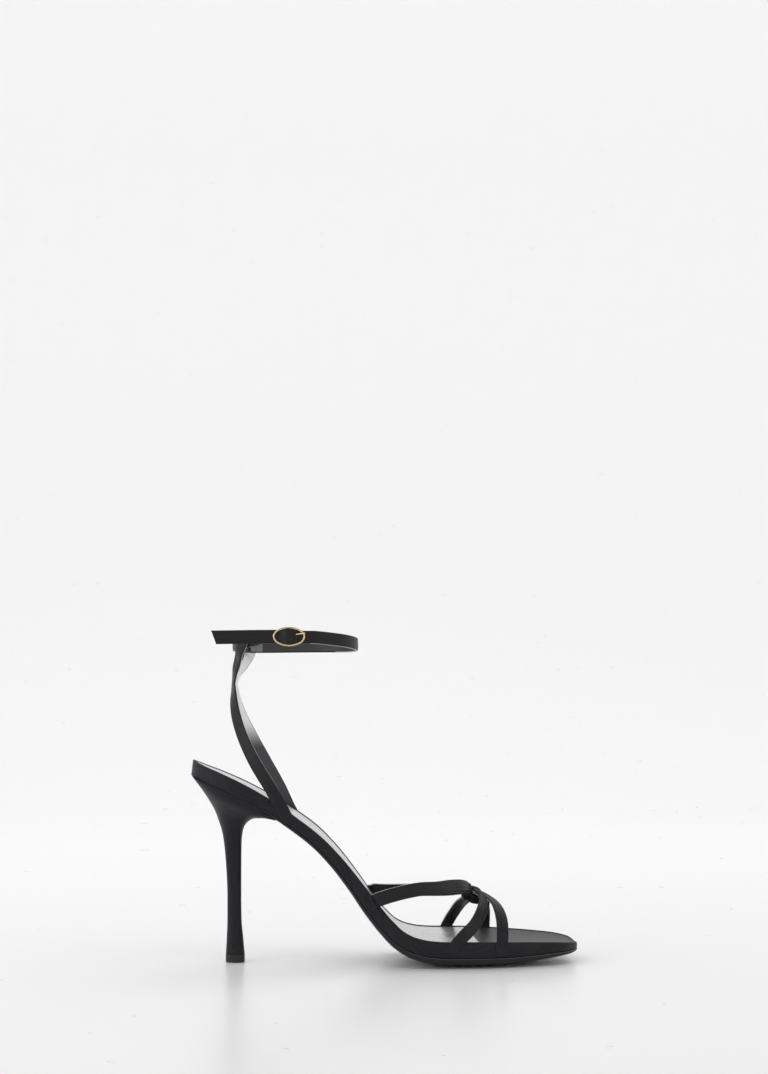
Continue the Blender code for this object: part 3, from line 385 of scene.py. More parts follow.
def skin(name, rings, finish, closed=False, smooth_angle=SHARP_ANGLE):
    """A closed mesh over rings of points, with flat ends unless it runs back into itself."""
    rings = np.array(rings) + SHIFT
    rows, count = rings.shape[:2]
    spans = np.linalg.norm(np.roll(rings, -1, axis=1) - rings, axis=2)
    around = np.concatenate([np.zeros((rows, 1)), np.cumsum(spans, axis=1)], axis=1)
    middles = rings.mean(axis=1)
    moves = np.linalg.norm(np.roll(middles, -1, axis=0) - middles, axis=1)
    run = np.concatenate([[0.0], np.cumsum(moves)])
    build = bmesh.new()
    chart = build.loops.layers.uv.new("metres")
    points = [[build.verts.new(point) for point in ring] for ring in rings]
    for i in range(rows if closed else rows - 1):
        n = (i + 1) % rows
        for j in range(count):
            k = (j + 1) % count
            face = build.faces.new((points[i][j], points[i][k], points[n][k], points[n][j]))
            corners = ((run[i], around[i, j]), (run[i], around[i, j + 1]),
                       (run[i + 1], around[n, j + 1]), (run[i + 1], around[n, j]))
            for loop, corner in zip(face.loops, corners):
                loop[chart].uv = corner
    if not closed:
        for ring, end in ((points[0][::-1], 0), (points[-1], -1)):
            face = build.faces.new(ring)
            for loop in face.loops:
                loop[chart].uv = (loop.vert.co.x, loop.vert.co.y)
    bmesh.ops.recalc_face_normals(build, faces=build.faces)
    mesh = bpy.data.meshes.new(name)
    build.to_mesh(mesh)
    build.free()
    mesh.materials.append(finish)
    mesh.shade_smooth()
    mesh.set_sharp_from_angle(angle=math.radians(smooth_angle))
    made = bpy.data.objects.new(name, mesh)
    bpy.context.collection.objects.link(made)
    return made


def circle(count):
    """Angles evenly round a full turn, from 0."""
    return [2 * math.pi * i / count for i in range(count)]


def box(name, low, high, finish):
    """A plain box from its low to its high corner."""
    rings = [[(low[0], low[1], z), (high[0], low[1], z), (high[0], high[1], z), (low[0], high[1], z)]
             for z in (low[2], high[2])]
    return skin(name, rings, finish)


def settle(made, slot, *nodes):
    """Tie a piece to the frame: it rides on the sandal and stands for its solids, which are hidden. The slot
    is not used.
    """
    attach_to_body(made, "root")
    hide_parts(*nodes)
    return made


def cut_out(body, cutters):
    """Cut solids out of a body, and remove them."""
    group = bpy.data.collections.new("cutters")
    for cutter in cutters:
        group.objects.link(cutter)
    step = body.modifiers.new("cut", "BOOLEAN")
    step.operation = "DIFFERENCE"
    step.solver = "EXACT"
    step.operand_type = "COLLECTION"
    step.collection = group
    mesh = bpy.data.meshes.new_from_object(body.evaluated_get(bpy.context.evaluated_depsgraph_get()))
    body.modifiers.clear()
    mesh.shade_smooth()
    mesh.set_sharp_from_angle(angle=math.radians(SHARP_ANGLE))
    body.data = mesh
    bpy.data.collections.remove(group)
    for cutter in cutters:
        bpy.data.objects.remove(cutter)
    return body


print("the middle line lies", round(1000 * SHIFT[1], 2), "mm off the origin")

# %% [markdown]
# ## Footbed
# The insole board is wrapped in satin. Its side is the black band that runs round the sandal, and its
# upper edge is a soft rim round the sunk bed for the linings. The wrap is pulled tight, so the side bulges
# by a hair and both edges are round. One outline for each side of a section gives all that.

# %% Footbed
RIM_BULGE = 0.00018
RIM_ROUNDING = 0.00012
LOW_EDGE_RADIUS = 0.0001
LOW_EDGE_GROWTH = 0.0002  # added in front of the heel, where the outsole lies under the edge


def footbed_underside(along):
    """Height of the footbed's underside: over the outsole, or bare at the seat."""
    under = section_thickness(along) * last_value("under", along)
    return under + min(GAP, under)


def bed_depth(along):
    """How deep the bed is sunk for the linings, nothing at the very ends."""
    return LINING_THICKNESS + GAP + RIM_HEIGHT if BED_START <= along <= 1 - BED_START else 0.0


def footbed_outline(along, side):
    """Half of a section, from the middle of the bed over the rim and down to the underside."""
    thickness = section_thickness(along)
    low = footbed_underside(along)
    edge = FOOTBED_EDGE
    width = half_width(along, side)
    sunk = bed_depth(along)
    bed_half = half_width(min(max(along, BED_START), 1 - BED_START), side, LINING_INSET - GAP)
    bed_half = min(bed_half, (1.0 if sunk else 0.9) * (width - edge))
    bed = thickness - sunk
    cup = SEAT_CUP * min(1.0, 2 * width / SEAT_WIDTH)
    points = [(share * bed_half, bed - cup * (1 - share * share)) for share in (0.3, 0.6, 0.98)]
    points += [(bed_half, thickness - RIM_ROUNDING), (bed_half + 0.00010, thickness)]
    for turn in np.linspace(0, math.pi / 2, 7):
        points.append((width - edge + edge * math.sin(turn), thickness - edge + edge * math.cos(turn)))
    soft = LOW_EDGE_RADIUS + LOW_EDGE_GROWTH * min(1.0, max(0.0, (along - 0.17) / 0.05))
    tall = thickness - edge - low - soft
    for share in (0.2, 0.4, 0.6, 0.8):
        points.append((width + RIM_BULGE * math.sin(math.pi * share), thickness - edge - share * tall))
    for turn in np.linspace(0, math.pi / 2, 4):
        points.append((width - soft + soft * math.cos(turn), low + soft - soft * math.sin(turn)))
    return points + [(0.5 * width, low)]


def side_points(outline, along, side):
    """The points of one side's outline, mirrored to the left for side -1."""
    return [place(along, side * across, height) for across, height in outline]


def footbed_section(along):
    """A closed ring: middle of the bed, right side, middle of the underside and left side."""
    width = half_width(along, -1) + half_width(along, 1)
    cup = SEAT_CUP * min(1.0, width / SEAT_WIDTH)
    top = place(along, 0.0, section_thickness(along) - bed_depth(along) - cup)
    low = place(along, 0.0, footbed_underside(along))
    right = side_points(footbed_outline(along, 1), along, 1)
    left = side_points(footbed_outline(along, -1), along, -1)
    return [top] + right + [low] + left[::-1]


# The bed ends in a step, so two sections stand close together at each end of it.
step_run = 0.0001 / LENGTH
footbed_places = stations(0.0012, 1.0, 0.0016)
footbed_places += [BED_START - step_run, BED_START, 1 - BED_START, 1 - BED_START + step_run]
footbed_rings = [footbed_section(along) for along in sorted(footbed_places)]
footbed_cover = skin("footbed_cover", footbed_rings, cover_satin)
settle(footbed_cover, "black_satin", "footbed")
print("footbed sections:", len(footbed_places))

# %% [markdown]
# ## Outsole
# The outsole is a thin leather sole, flat where it meets the floor and rolled up at its edges. Its upper
# edge stands a hair outside the satin band above it, as a trimmed and polished sole edge does, and that
# lip catches the light as the thin pale line along the seam. The round upper edge also has a greyer
# colour, a painted highlight on that line.

# %% Outsole
SOLE_LIP = 0.00030
SOLE_EDGE_RADIUS = 0.00035
ROLL_HEIGHTS = (0.0, 0.25, 0.60, 0.84, 1.0)
ROLL_SHARES = (0.46, 0.76, 0.92, 0.985, 1.0)


def outsole_outline(along, side, extra=0.0):
    """Half of a section, from the flat underside over the rolled edge to the top."""
    top = section_thickness(along) * last_value("under", along) + extra
    roll = min(SOLE_ROLL, 0.55 * top)
    width = half_width(along, side) + SOLE_LIP + extra
    soft = min(SOLE_EDGE_RADIUS, 0.2 * top)
    points = []
    for height in np.linspace(0, 1, 10):
        share = float(smooth_through(ROLL_HEIGHTS, ROLL_SHARES, height))
        points.append((width * share, roll * height - extra))
    for turn in np.linspace(0, math.pi / 2, 4):
        points.append((width - soft + soft * math.cos(turn), top - soft + soft * math.sin(turn)))
    return points + [(0.5 * width, top)]


def outsole_section(along, extra=0.0):
    """A closed ring of the outsole, larger all round by extra."""
    top = section_thickness(along) * last_value("under", along) + extra
    right = side_points(outsole_outline(along, 1, extra), along, 1)
    left = side_points(outsole_outline(along, -1, extra), along, -1)
    return right + [place(along, 0.0, top)] + left[::-1]


outsole = skin("leather_outsole", [outsole_section(along) for along in stations(0.178, 0.9975, 0.0008)],
               painted_sole)
# the round upper edge takes the greyer finish, a painted highlight
outsole.data.materials.append(sole_edge_painted_highlight)
ring_size = 2 * len(outsole_outline(0.5, 1)) + 1
EDGE_FACES = (10, 11, 12, 17, 18, 19)  # the round upper edge in each ring of faces, right and left
for face in outsole.data.polygons:
    if face.index % ring_size in EDGE_FACES:
        face.material_index = 1
settle(outsole, "outsole_black", "outsole")
print("outsole faces:", len(outsole.data.polygons))

# %% [markdown]
# ## Linings
# Two thin linings lie in the sunk bed and meet in a straight edge across the ball: silver-grey behind,
# black satin in front. Each is a sheet with round edges that follows the hollow of the bed.

# %% Linings
def lining_section(along):
    """One closed section of a lining: its top from side to side, and its underside back."""
    level = section_thickness(along) - RIM_HEIGHT
    left = half_width(along, -1, LINING_INSET)
    right = half_width(along, 1, LINING_INSET)
    cup = SEAT_CUP * min(1.0, (left + right) / SEAT_WIDTH)
    soft = 0.3 * LINING_THICKNESS
    top = []
    low = []
    for share in np.linspace(-1, 1, 25):
        across = share * (left if share < 0 else right)
        height = level - cup * (1 - share * share)
        edge = max(0.0, soft - (1 - abs(share)) * min(left, right))
        top.append(place(along, across, height - edge))
        low.append(place(along, across, height - LINING_THICKNESS + edge * 0.5))
    return top + low[::-1]


def make_lining(name, first, last, finish, slot, solid):
    """A lining from one share of the length to another, with a section close to each end."""
    near_end = 0.0002 / LENGTH
    places = [first + near_end, *stations(first, last, 0.0022), last - near_end]
    made = skin(name, [lining_section(along) for along in sorted(places)], finish)
    return settle(made, slot, solid)


insole_lining = make_lining("insole_lining", LINING_ENDS / LENGTH, LINING_SPLIT, insole_silver,
                            "silver_lining", "sock_lining")
toe_lining = make_lining("toe_lining", LINING_SPLIT + GAP / LENGTH, 1 - LINING_ENDS / LENGTH, sock_satin,
                         "black_satin", "toe_sock")
print("linings:", insole_lining.name, "and", toe_lining.name)

# %% [markdown]
# ## Heel
# The stiletto heel is a moulded core in a satin cover. Its sections fan out from level at the tip to the
# slope of the seat, round behind and boxy in front. The top is trimmed to the seat and to the end of the
# outsole with two cutters. The cover closes in a seam down the middle of the front, so a shallow groove
# runs there.

# %% Heel
HEEL_TIP_HEIGHT = 0.0046
HEEL_TIP_LENGTH = 0.0106
HEEL_TIP_WIDTH = 0.0102
BREAST_REACH = 0.0480
BACK_ROUNDNESS = 2.2
SEAM_GROOVE = 0.00025
CUT_CLEARANCE = 0.00008
# Columns: back x and z, front x and z, width, squareness of the front, share of the seat's outline.
# The x values are in lengths of the tip, the z values in shares of the seat's height, widths in tips.
HEEL_ROWS = (
    (0.010, 0.050, 0.990, 0.050, 1.00, 3.2, 0.0),
    (0.050, 0.125, 0.920, 0.125, 0.90, 3.2, 0.0),
    (0.085, 0.230, 0.830, 0.230, 0.82, 3.2, 0.0),
    (0.085, 0.360, 0.815, 0.360, 0.80, 3.2, 0.0),
    (0.000, 0.540, 0.820, 0.540, 0.92, 3.2, 0.0),
    (-0.085, 0.630, 0.830, 0.625, 1.20, 3.4, 0.0),
    (-0.185, 0.693, 0.870, 0.680, 1.62, 3.6, 0.0),
    (-0.370, 0.755, 0.975, 0.722, 2.22, 4.0, 0.0),
    (-0.560, 0.808, 1.190, 0.752, 2.90, 4.4, 0.0),
    (-0.890, 0.870, 1.540, 0.771, 3.66, 5.0, 0.12),
    (-1.270, 0.932, 2.020, 0.775, 4.40, 5.5, 0.50),
)


def heel_section(back, front, half, square, seat_share, count=72, groove=0.0):
    """A closed section between a back and a front point, round behind and boxy in front."""
    points = []
    for angle in circle(count):
        lengthwise = math.cos(angle)
        sideways = math.sin(angle)
        power = 2 / (BACK_ROUNDNESS if lengthwise < 0 else square)
        share = 0.5 + 0.5 * math.copysign(abs(lengthwise) ** power, lengthwise)
        side = -1 if sideways < 0 else 1
        across = half * abs(sideways) ** power
        x = back[0] + (front[0] - back[0]) * share
        z = back[1] + (front[1] - back[1]) * share
        if angle == 0:
            x -= groove
        if seat_share > 0:
            along = min(max((x + section_thickness(0.1) * 0.25) / LENGTH + 0.5, 0.0), 1.0)
            seat_half = half_width(along, side) - 0.00005
            across += seat_share * (seat_half * min(1.0, abs(sideways) / 0.22) - across)
        points.append(np.array([x, side * across, z]))
    return points


# %% Rows of the heel
tip_back = HEEL_SETBACK - LENGTH / 2
heel_table = []
for back_x, back_z, front_x, front_z, width, square, seat in HEEL_ROWS:
    heel_table.append((tip_back + back_x * HEEL_TIP_LENGTH, back_z * SEAT_LIFT,
                       tip_back + front_x * HEEL_TIP_LENGTH, front_z * SEAT_LIFT,
                       width * HEEL_TIP_WIDTH / 2, square, seat))
under_front = place(BREAST_REACH / LENGTH, 0.0, 0.0)
seat_back = (0.0004 - LENGTH / 2, SEAT_LIFT)
seat_front = (under_front[0], under_front[2] - 0.0002)
heel_table.append((*seat_back, *seat_front, SEAT_WIDTH / 2, 6.0, 1.0))
slope = math.atan2(seat_back[1] - seat_front[1], seat_front[0] - seat_back[0])
RAISED = 0.008
shift_x = RAISED * math.sin(slope) * 0.3
shift_z = RAISED * math.cos(slope)
top_row = (seat_back[0] + shift_x, seat_back[1] + shift_z, seat_front[0] + shift_x, seat_front[1] + shift_z,
           SEAT_WIDTH / 2, 6.0, 1.0)
heel_rows = np.array(heel_table)
heel_rows[0, [1, 3]] = HEEL_TIP_HEIGHT + GAP
numbers = np.arange(len(heel_table))
fine_numbers = np.linspace(0, len(heel_table) - 1, 90)
fine_rows = np.array([smooth_through(numbers, heel_rows[:, column], fine_numbers) for column in range(7)]).T
fine_rows = [*fine_rows, np.array(top_row)]
heel_rings = [heel_section(row[0:2], row[2:4], *row[4:], groove=SEAM_GROOVE) for row in fine_rows]
heel_cover = skin("heel_cover", heel_rings, cover_satin)


def seat_cut_ring(along):
    """A wide section just under the footbed, open upwards, that trims the heel's top to the seat."""
    low = footbed_underside(along) - CUT_CLEARANCE
    wide = SEAT_WIDTH / 2 + 0.006
    edges = [place(along, wide * share, low) for share in np.linspace(-1, 1, 9)]
    return edges + [point + np.array([0.0, 0.0, 0.03]) for point in (edges[-1], edges[0])]


seat_cut = [seat_cut_ring(along) for along in stations(0.0, 0.33, 0.003)]
behind = [point + np.array([-0.004, 0.0, 0.0012]) for point in seat_cut[0]]
sole_cut = [outsole_section(along, GAP) for along in np.linspace(0.1765, 0.33, 18)]
cut_out(heel_cover, [skin("seat_cutter", [behind] + seat_cut, cover_satin),
                     skin("sole_cutter", sole_cut, cover_satin)])
settle(heel_cover, "black_satin", "heel")
print("heel cover faces:", len(heel_cover.data.polygons))

# %% [markdown]
# ## Heel tip
# A small block of hard rubber wears in place of the heel. Its outline is the heel's own, its edges are
# broken by a small radius and it stands on the floor.

# %% Heel tip
tip_rings = []
TIP_ROWS = ((0.0, 0.0005), (0.00015, 0.0002), (0.0004, 0.0), (HEEL_TIP_HEIGHT - 0.0002, 0.0),
            (HEEL_TIP_HEIGHT, 0.0002))
for height, inset in TIP_ROWS:
    back = (tip_back + inset, height)
    front = (tip_back + HEEL_TIP_LENGTH - inset, height)
    tip_rings.append(heel_section(back, front, HEEL_TIP_WIDTH / 2 - inset, 3.2, 0.0, count=56))
rubber_tip = settle(skin("rubber_tip", tip_rings, moulded_rubber), "tip_rubber", "heel_tip")
print("heel tip is", round(1000 * HEEL_TIP_HEIGHT, 1), "mm high")

# %% [markdown]
# ## How a strap is made
# A satin strap is a strip of cloth folded round a stiff tape, with a lining glued behind it. So each strap
# here is a few bands on one route: the satin cover with round edges and a slightly domed face, and the
# coated lining behind it. The straps of the vamp have a satin facing over the lining too. Where a strap's
# rolled edge shows a thin highlight, a narrow pale hem of lining is added over that stretch, so the
# highlight is painted in. A route is a smooth curve through a few rows of a point, the direction that the
# strap's face looks in, its width and its thickness. A curve object with a bevel would be quicker, but it
# can't say which way the face looks at each place.

# %% Routes
STRAP_THICKNESS = 0.0013
BEND_WEIGHT = 0.006
ROUTE_STEP = 0.0009


def facing(heading, rise):
    """The outward direction of a strap's face: heading in degrees from +X towards +Y, rise above level."""
    level = math.cos(math.radians(rise))
    x = level * math.cos(math.radians(heading))
    y = level * math.sin(math.radians(heading))
    return np.array([x, y, math.sin(math.radians(rise))])


def smooth_route(rows):
    """Rows of a point, a face, a width and a thickness on a smooth curve, closer where it bends."""
    table = np.array([[*point, *face, width, thick] for point, face, width, thick in rows])
    spans = np.linalg.norm(np.diff(table[:, :3], axis=0), axis=1) ** 0.5
    knots = np.concatenate([[0.0], np.cumsum(spans)])
    tangents = np.zeros_like(table)
    for i in range(1, len(table) - 1):
        before = (table[i] - table[i - 1]) / spans[i - 1]
        after = (table[i + 1] - table[i]) / spans[i]
        share = spans[i - 1] / (spans[i - 1] + spans[i])
        tangents[i] = before * (1 - share) + after * share
    tangents[0] = (table[1] - table[0]) / spans[0]
    tangents[-1] = (table[-1] - table[-2]) / spans[-1]
    fine = np.linspace(0, knots[-1], 90 * len(table))
    i = np.clip(np.searchsorted(knots, fine) - 1, 0, len(spans) - 1)
    t = ((fine - knots[i]) / spans[i])[:, None]
    width = spans[i][:, None]
    curve = (2 * t**3 - 3 * t**2 + 1) * table[i] + (t**3 - 2 * t**2 + t) * width * tangents[i]
    curve += (3 * t**2 - 2 * t**3) * table[i + 1] + (t**3 - t**2) * width * tangents[i + 1]
    moves = np.diff(curve[:, :3], axis=0)
    lengths = np.linalg.norm(moves, axis=1)
    headings = moves / lengths[:, None]
    turns = np.concatenate([[0.0], np.linalg.norm(np.diff(headings, axis=0), axis=1)])
    run = np.concatenate([[0.0], np.cumsum(lengths + BEND_WEIGHT * turns)])
    count = max(4, int(round(run[-1] / ROUTE_STEP)) + 1)
    even = np.linspace(0, run[-1], count)
    return np.array([np.interp(even, run, curve[:, column]) for column in range(8)]).T


# %% Outlines of the bands
LINING_SHARE = 0.30
FACE_CROWN = 0.00012
# how far the pale hem, a painted highlight along a strap's edge, stands beyond the cover
HIGHLIGHT_HEM = 0.00016


def cover_outline(width, thick, fold):
    """The satin cover: domed face, round edges, flat back. The fold lifts or sinks the face."""
    half = width / 2
    top = thick / 2
    low = -top + LINING_SHARE * thick
    radius = 0.48 * (top - low)
    points = []
    for share in np.linspace(-1, 1, 17):
        across = share * (half - radius)
        points.append((across, top - FACE_CROWN * share * share + fold(share)))
    for side in (1, -1):
        arc = []
        for turn in np.linspace(15, 90, 4):
            angle = math.radians(turn)
            arc.append((side * (half - radius + radius * math.sin(angle)),
                        top - FACE_CROWN - radius + radius * math.cos(angle)))
        arc.append((side * half, low + 0.00005))
        arc.append((side * (half - 0.00008), low))
        points += arc if side > 0 else arc[::-1]
    return points


def flat_outline(half, low, high, soft, rise):
    """A thin flat band with its two lower corners taken off."""
    return [(-half, high), (half, high), (half, low + rise), (half - soft, low), (-half + soft, low),
            (-half, low + rise)]


def lining_band(margin):
    """The outline of the lining: a flat band, narrower than the cover by the margin on each side."""
    def outline(width, thick, fold):
        low = -thick / 2
        soft = 0.3 * LINING_SHARE * thick
        return flat_outline(width / 2 - margin, low, low + LINING_SHARE * thick, soft, soft)
    return outline


def facing_outline(width, thick, fold):
    """The satin facing inside the lining, narrower than the strap."""
    back = -thick / 2
    return flat_outline(width / 2 - 0.00030, back - 0.00010, back + 0.00005, 0.00008, 0.00005)


def highlight_hem_outline(width, thick, fold):
    """A painted highlight: a pale strip of lining a hair beyond one side of the cover, along a lit edge."""
    inside = width / 2 - 0.0004
    outside = width / 2 + HIGHLIGHT_HEM
    low = -thick / 2 + 0.0001
    high = low + 0.0005
    return [(inside, high), (outside - 0.00005, high), (outside, high - 0.0001), (outside, low),
            (inside, low)]


def no_fold(along, share):
    return 0.0


# %% Sweep a band along its route
def band_rings(route, outline, end_slant=0.0, fold=no_fold):
    """Sections of a band. The slant cuts the far end at an angle."""
    points = route[:, :3]
    directions = np.gradient(points, axis=0)
    rings = []
    for i, row in enumerate(route):
        ahead = directions[i] / np.linalg.norm(directions[i])
        face = row[3:6] - ahead * np.dot(row[3:6], ahead)
        face /= np.linalg.norm(face)
        wide = np.cross(face, ahead)
        along = i / (len(route) - 1)
        section = outline(row[6], row[7], lambda share: fold(along, share))
        ring = [points[i] + wide * a + face * b for a, b in section]
        if end_slant and i == len(route) - 1:
            up = np.sign(wide[2])
            ring = [point + ahead * end_slant * up * a / row[6] for point, (a, b) in zip(ring, section)]
        rings.append(ring)
    return rings


def make_strap(name, rows, node_name, lining=strap_silver, faced=False, end_slant=0.0, fold=no_fold,
               highlight_hem=None, margin=0.00004, lined_end=1.0):
    """The bands of one strap: cover, lining, a facing if faced, and a pale hem (painted highlight) over a
    share of the route.
    Past the share of lined_end the cover shows the grey of the lining."""
    route = smooth_route(rows)
    parts = [("cover", cover_outline, strap_satin, 0.0, 1.0),
             ("lining", lining_band(margin), lining, 0.0, 1.0)]
    if faced:
        parts.append(("facing", facing_outline, strap_satin, 0.0, 1.0))
    # the hem is a painted highlight: a pale strip of lining along an edge that catches the light
    if highlight_hem:
        parts.append(("highlight_hem", highlight_hem_outline, strap_silver, *highlight_hem))
    pieces = []
    for part_name, outline, finish, first, last in parts:
        first_row = round(first * (len(route) - 1))
        last_row = round(last * (len(route) - 1))
        slant = end_slant if last == 1.0 else 0.0
        rings = band_rings(route, outline, slant, fold if part_name == "cover" else no_fold)
        made = skin(f"{name}_{part_name}", rings[first_row:last_row + 1], finish)
        if part_name == "cover" and lined_end < 1.0:
            made.data.materials.append(loop_end_grey)
            first_lined = round(lined_end * (len(route) - 1)) * len(rings[0])
            for face in made.data.polygons[first_lined:]:
                face.material_index = 1
        pieces.append(settle(made, "black_satin", node_name))
    length = np.linalg.norm(np.diff(route[:, :3], axis=0), axis=1).sum()
    print(name, "is", round(1000 * length), "mm long, with", len(route), "sections")
    return pieces


# %% [markdown]
# ## The vamp: one rear strap and two front straps
# The straps start on the side of the footbed, rise over the foot and meet in a knot. Their ends are set by
# the sole's own sections, and their free rows by shares of the length, of half the ball width and of the
# height over the footbed. The satin is drawn together at the knot, so soft folds run along each strap
# there and die out away from it. A cloth simulation could make such folds too, but a wave that fades gives
# the same ones in every run.

# %% Places of the straps
VAMP_STRAP_WIDTH = 0.0077
FRONT_STRAP_WIDTH = 0.0065
VAMP_HEIGHT = 0.0280
SEAT_THICKNESS = 0.0006


def beside_sole(along, side, height):
    """The middle of a strap that lies on the footbed's side, at a share of the section's height."""
    across = half_width(along, side) + RIM_BULGE + SEAT_THICKNESS / 2
    return place(along, side * across, height * section_thickness(along))


def side_facing(along, side):
    """The outward direction of the footbed's side, square to its edge and to its height."""
    near = beside_sole(along - 0.012, side, 0.5)
    far = beside_sole(along + 0.012, side, 0.5)
    tall = beside_sole(along, side, 1.0) - beside_sole(along, side, 0.0)
    out = np.cross(far - near, tall)
    out *= side * np.sign(out[1])
    return out / np.linalg.norm(out)


bed_tops = [place(along, 0.001, section_thickness(along)) for along in PLACES]


def above_bed(along, across, height):
    """A point over the footbed: shares of the length, of half the ball width and of VAMP_HEIGHT."""
    x = (along - 0.5) * LENGTH
    bed = float(smooth_through([top[0] for top in bed_tops], [top[2] for top in bed_tops], x))
    return np.array([x, across * BALL_WIDTH / 2, bed + height * VAMP_HEIGHT])


def seat_rows(side, low, high, strap_width):
    """The end of a vamp strap that runs down over the footbed's side."""
    return [(beside_sole(along, side, height), side_facing(along, side), strap_width, SEAT_THICKNESS)
            for along, height in (low, high)]


def vamp_rows(outer_seat, rows, inner_seat, strap_width):
    """Rows of a vamp strap: its seat on the outer side, the free rows and its seat on the inner side."""
    free = [(above_bed(along, across, height), facing(heading, rise), width * strap_width,
             thick * STRAP_THICKNESS)
            for along, across, height, heading, rise, width, thick in rows]
    outer = seat_rows(-1, *outer_seat, strap_width)
    inner = seat_rows(1, *inner_seat, strap_width)
    return outer + free + inner[::-1]


# %% The three straps of the vamp
# Each seat is two places on the footbed's side: along, and a share of the side's height.
# Columns of the free rows: along, across, height, heading and rise of the face, width and thickness.
rear_rows = vamp_rows(
    ((0.434, 0.42), (0.437, 0.82)),
    (
        (0.477, -0.838, 0.085, -94, 3, 1.00, 1.0),
        (0.521, -0.840, 0.585, -88, 8, 0.98, 1.0),
        (0.579, -0.760, 0.930, -78, 14, 0.97, 1.0),
        (0.630, -0.590, 0.985, -68, 20, 0.97, 1.0),
        (0.670, -0.390, 1.005, -60, 24, 0.96, 1.0),
        (0.702, -0.210, 0.990, -45, 26, 0.94, 1.1),
        (0.722, 0.000, 0.930, 0, 22, 0.90, 1.2),
        (0.700, 0.210, 0.880, 48, 26, 0.96, 1.1),
        (0.665, 0.400, 0.830, 62, 24, 1.00, 1.0),
        (0.612, 0.610, 0.780, 72, 18, 0.97, 1.0),
        (0.560, 0.760, 0.665, 82, 12, 0.97, 1.0),
        (0.513, 0.850, 0.365, 90, 6, 1.00, 1.0),
        (0.478, 0.846, 0.050, 94, 3, 1.00, 1.0),
    ),
    ((0.431, 0.30), (0.436, 0.78)),
    VAMP_STRAP_WIDTH,
)
outer_rear_rows = vamp_rows(
    ((0.656, 0.58), (0.671, 0.92)),
    (
        (0.690, -1.005, 0.120, -90, 4, 1.05, 1.0),
        (0.722, -0.830, 0.330, -86, 22, 1.02, 1.0),
        (0.746, -0.600, 0.600, -80, 42, 0.98, 1.0),
        (0.755, -0.340, 0.790, -75, 55, 0.92, 1.1),
        (0.746, -0.120, 0.840, -60, 48, 0.80, 1.5),
        (0.737, 0.050, 0.800, 20, 70, 0.80, 1.6),
        (0.748, 0.260, 0.760, 65, 60, 0.85, 1.2),
        (0.765, 0.530, 0.640, 78, 46, 0.95, 1.0),
        (0.779, 0.790, 0.410, 84, 26, 1.00, 1.0),
        (0.783, 0.955, 0.170, 88, 8, 1.00, 1.0),
    ),
    ((0.781, 0.45), (0.782, 0.82)),
    FRONT_STRAP_WIDTH,
)
outer_front_rows = vamp_rows(
    ((0.788, 0.47), (0.788, 0.82)),
    (
        (0.789, -0.960, 0.200, -88, 8, 1.00, 1.0),
        (0.790, -0.800, 0.440, -78, 32, 1.00, 1.0),
        (0.782, -0.540, 0.680, -20, 74, 0.92, 1.0),
        (0.763, -0.290, 0.800, 20, 80, 0.86, 1.1),
        (0.742, -0.070, 0.855, 20, 66, 0.84, 1.5),
        (0.728, 0.160, 0.800, 60, 30, 0.80, 1.5),
        (0.722, 0.400, 0.650, 78, 30, 0.92, 1.1),
        (0.711, 0.670, 0.500, 84, 24, 1.00, 1.0),
        (0.699, 0.880, 0.300, 88, 12, 1.00, 1.0),
        (0.688, 1.025, 0.110, 90, 4, 1.00, 1.0),
    ),
    ((0.672, 0.45), (0.677, 0.86)),
    FRONT_STRAP_WIDTH,
)


def knot_folds(middle, reach, depth, folds):
    """Folds along a strap, deepest at the knot, a share of the way along, and fading within the reach."""
    def fold(along, share):
        nearness = math.exp(-((along - middle) / reach) ** 2)
        return depth * nearness * math.cos(folds * math.pi * share + 4 * along)
    return fold


# the hem on the rear strap is a painted highlight along one edge
make_strap("rear_strap", rear_rows, "vamp_straps", faced=True,
           fold=knot_folds(0.50, 0.10, 0.00022, 3.0), highlight_hem=(0.08, 0.42))
for name, rows, middle in (("outer_rear_strap", outer_rear_rows, 0.46),
                           ("outer_front_strap", outer_front_rows, 0.50)):
    make_strap(name, rows, "vamp_straps", faced=True, fold=knot_folds(middle, 0.16, 0.00030, 3.4))

# %% [markdown]
# ## The knot
# The front straps are pulled together into a pleated stretch, and the rear strap folds round it like a
# collar. The pleats run from back to front, so the stretch is a row of rippled rings. The collar is a
# short sleeve, deeper than it is wide, with soft creases of its own.

# %% Knot
PLEATS = 9
PLEAT_DEPTH = 0.16
GATHER_HALF_WIDTH = 0.42 * VAMP_STRAP_WIDTH
GATHER_UP = 0.58 * VAMP_STRAP_WIDTH
GATHER_DOWN = 0.68 * VAMP_STRAP_WIDTH
COLLAR_HALF_LENGTH = 0.36 * VAMP_STRAP_WIDTH
COLLAR_HALF_WIDTH = 0.60 * VAMP_STRAP_WIDTH
COLLAR_HALF_HEIGHT = 0.66 * VAMP_STRAP_WIDTH


def gather_ring(along, lift, size):
    """One ring of the pleated stretch, with sharp valleys between round pleats."""
    centre = above_bed(along, 0.0, lift)
    ring = []
    for angle in circle(112):
        ripple = 1.04 - PLEAT_DEPTH * (1 - abs(math.cos(PLEATS / 2 * angle))) ** 2
        y = GATHER_HALF_WIDTH * size * ripple * math.cos(angle)
        z = (GATHER_UP if math.sin(angle) > 0 else GATHER_DOWN) * size * ripple * math.sin(angle)
        ring.append(centre + np.array([0.0, y, z]))
    return ring


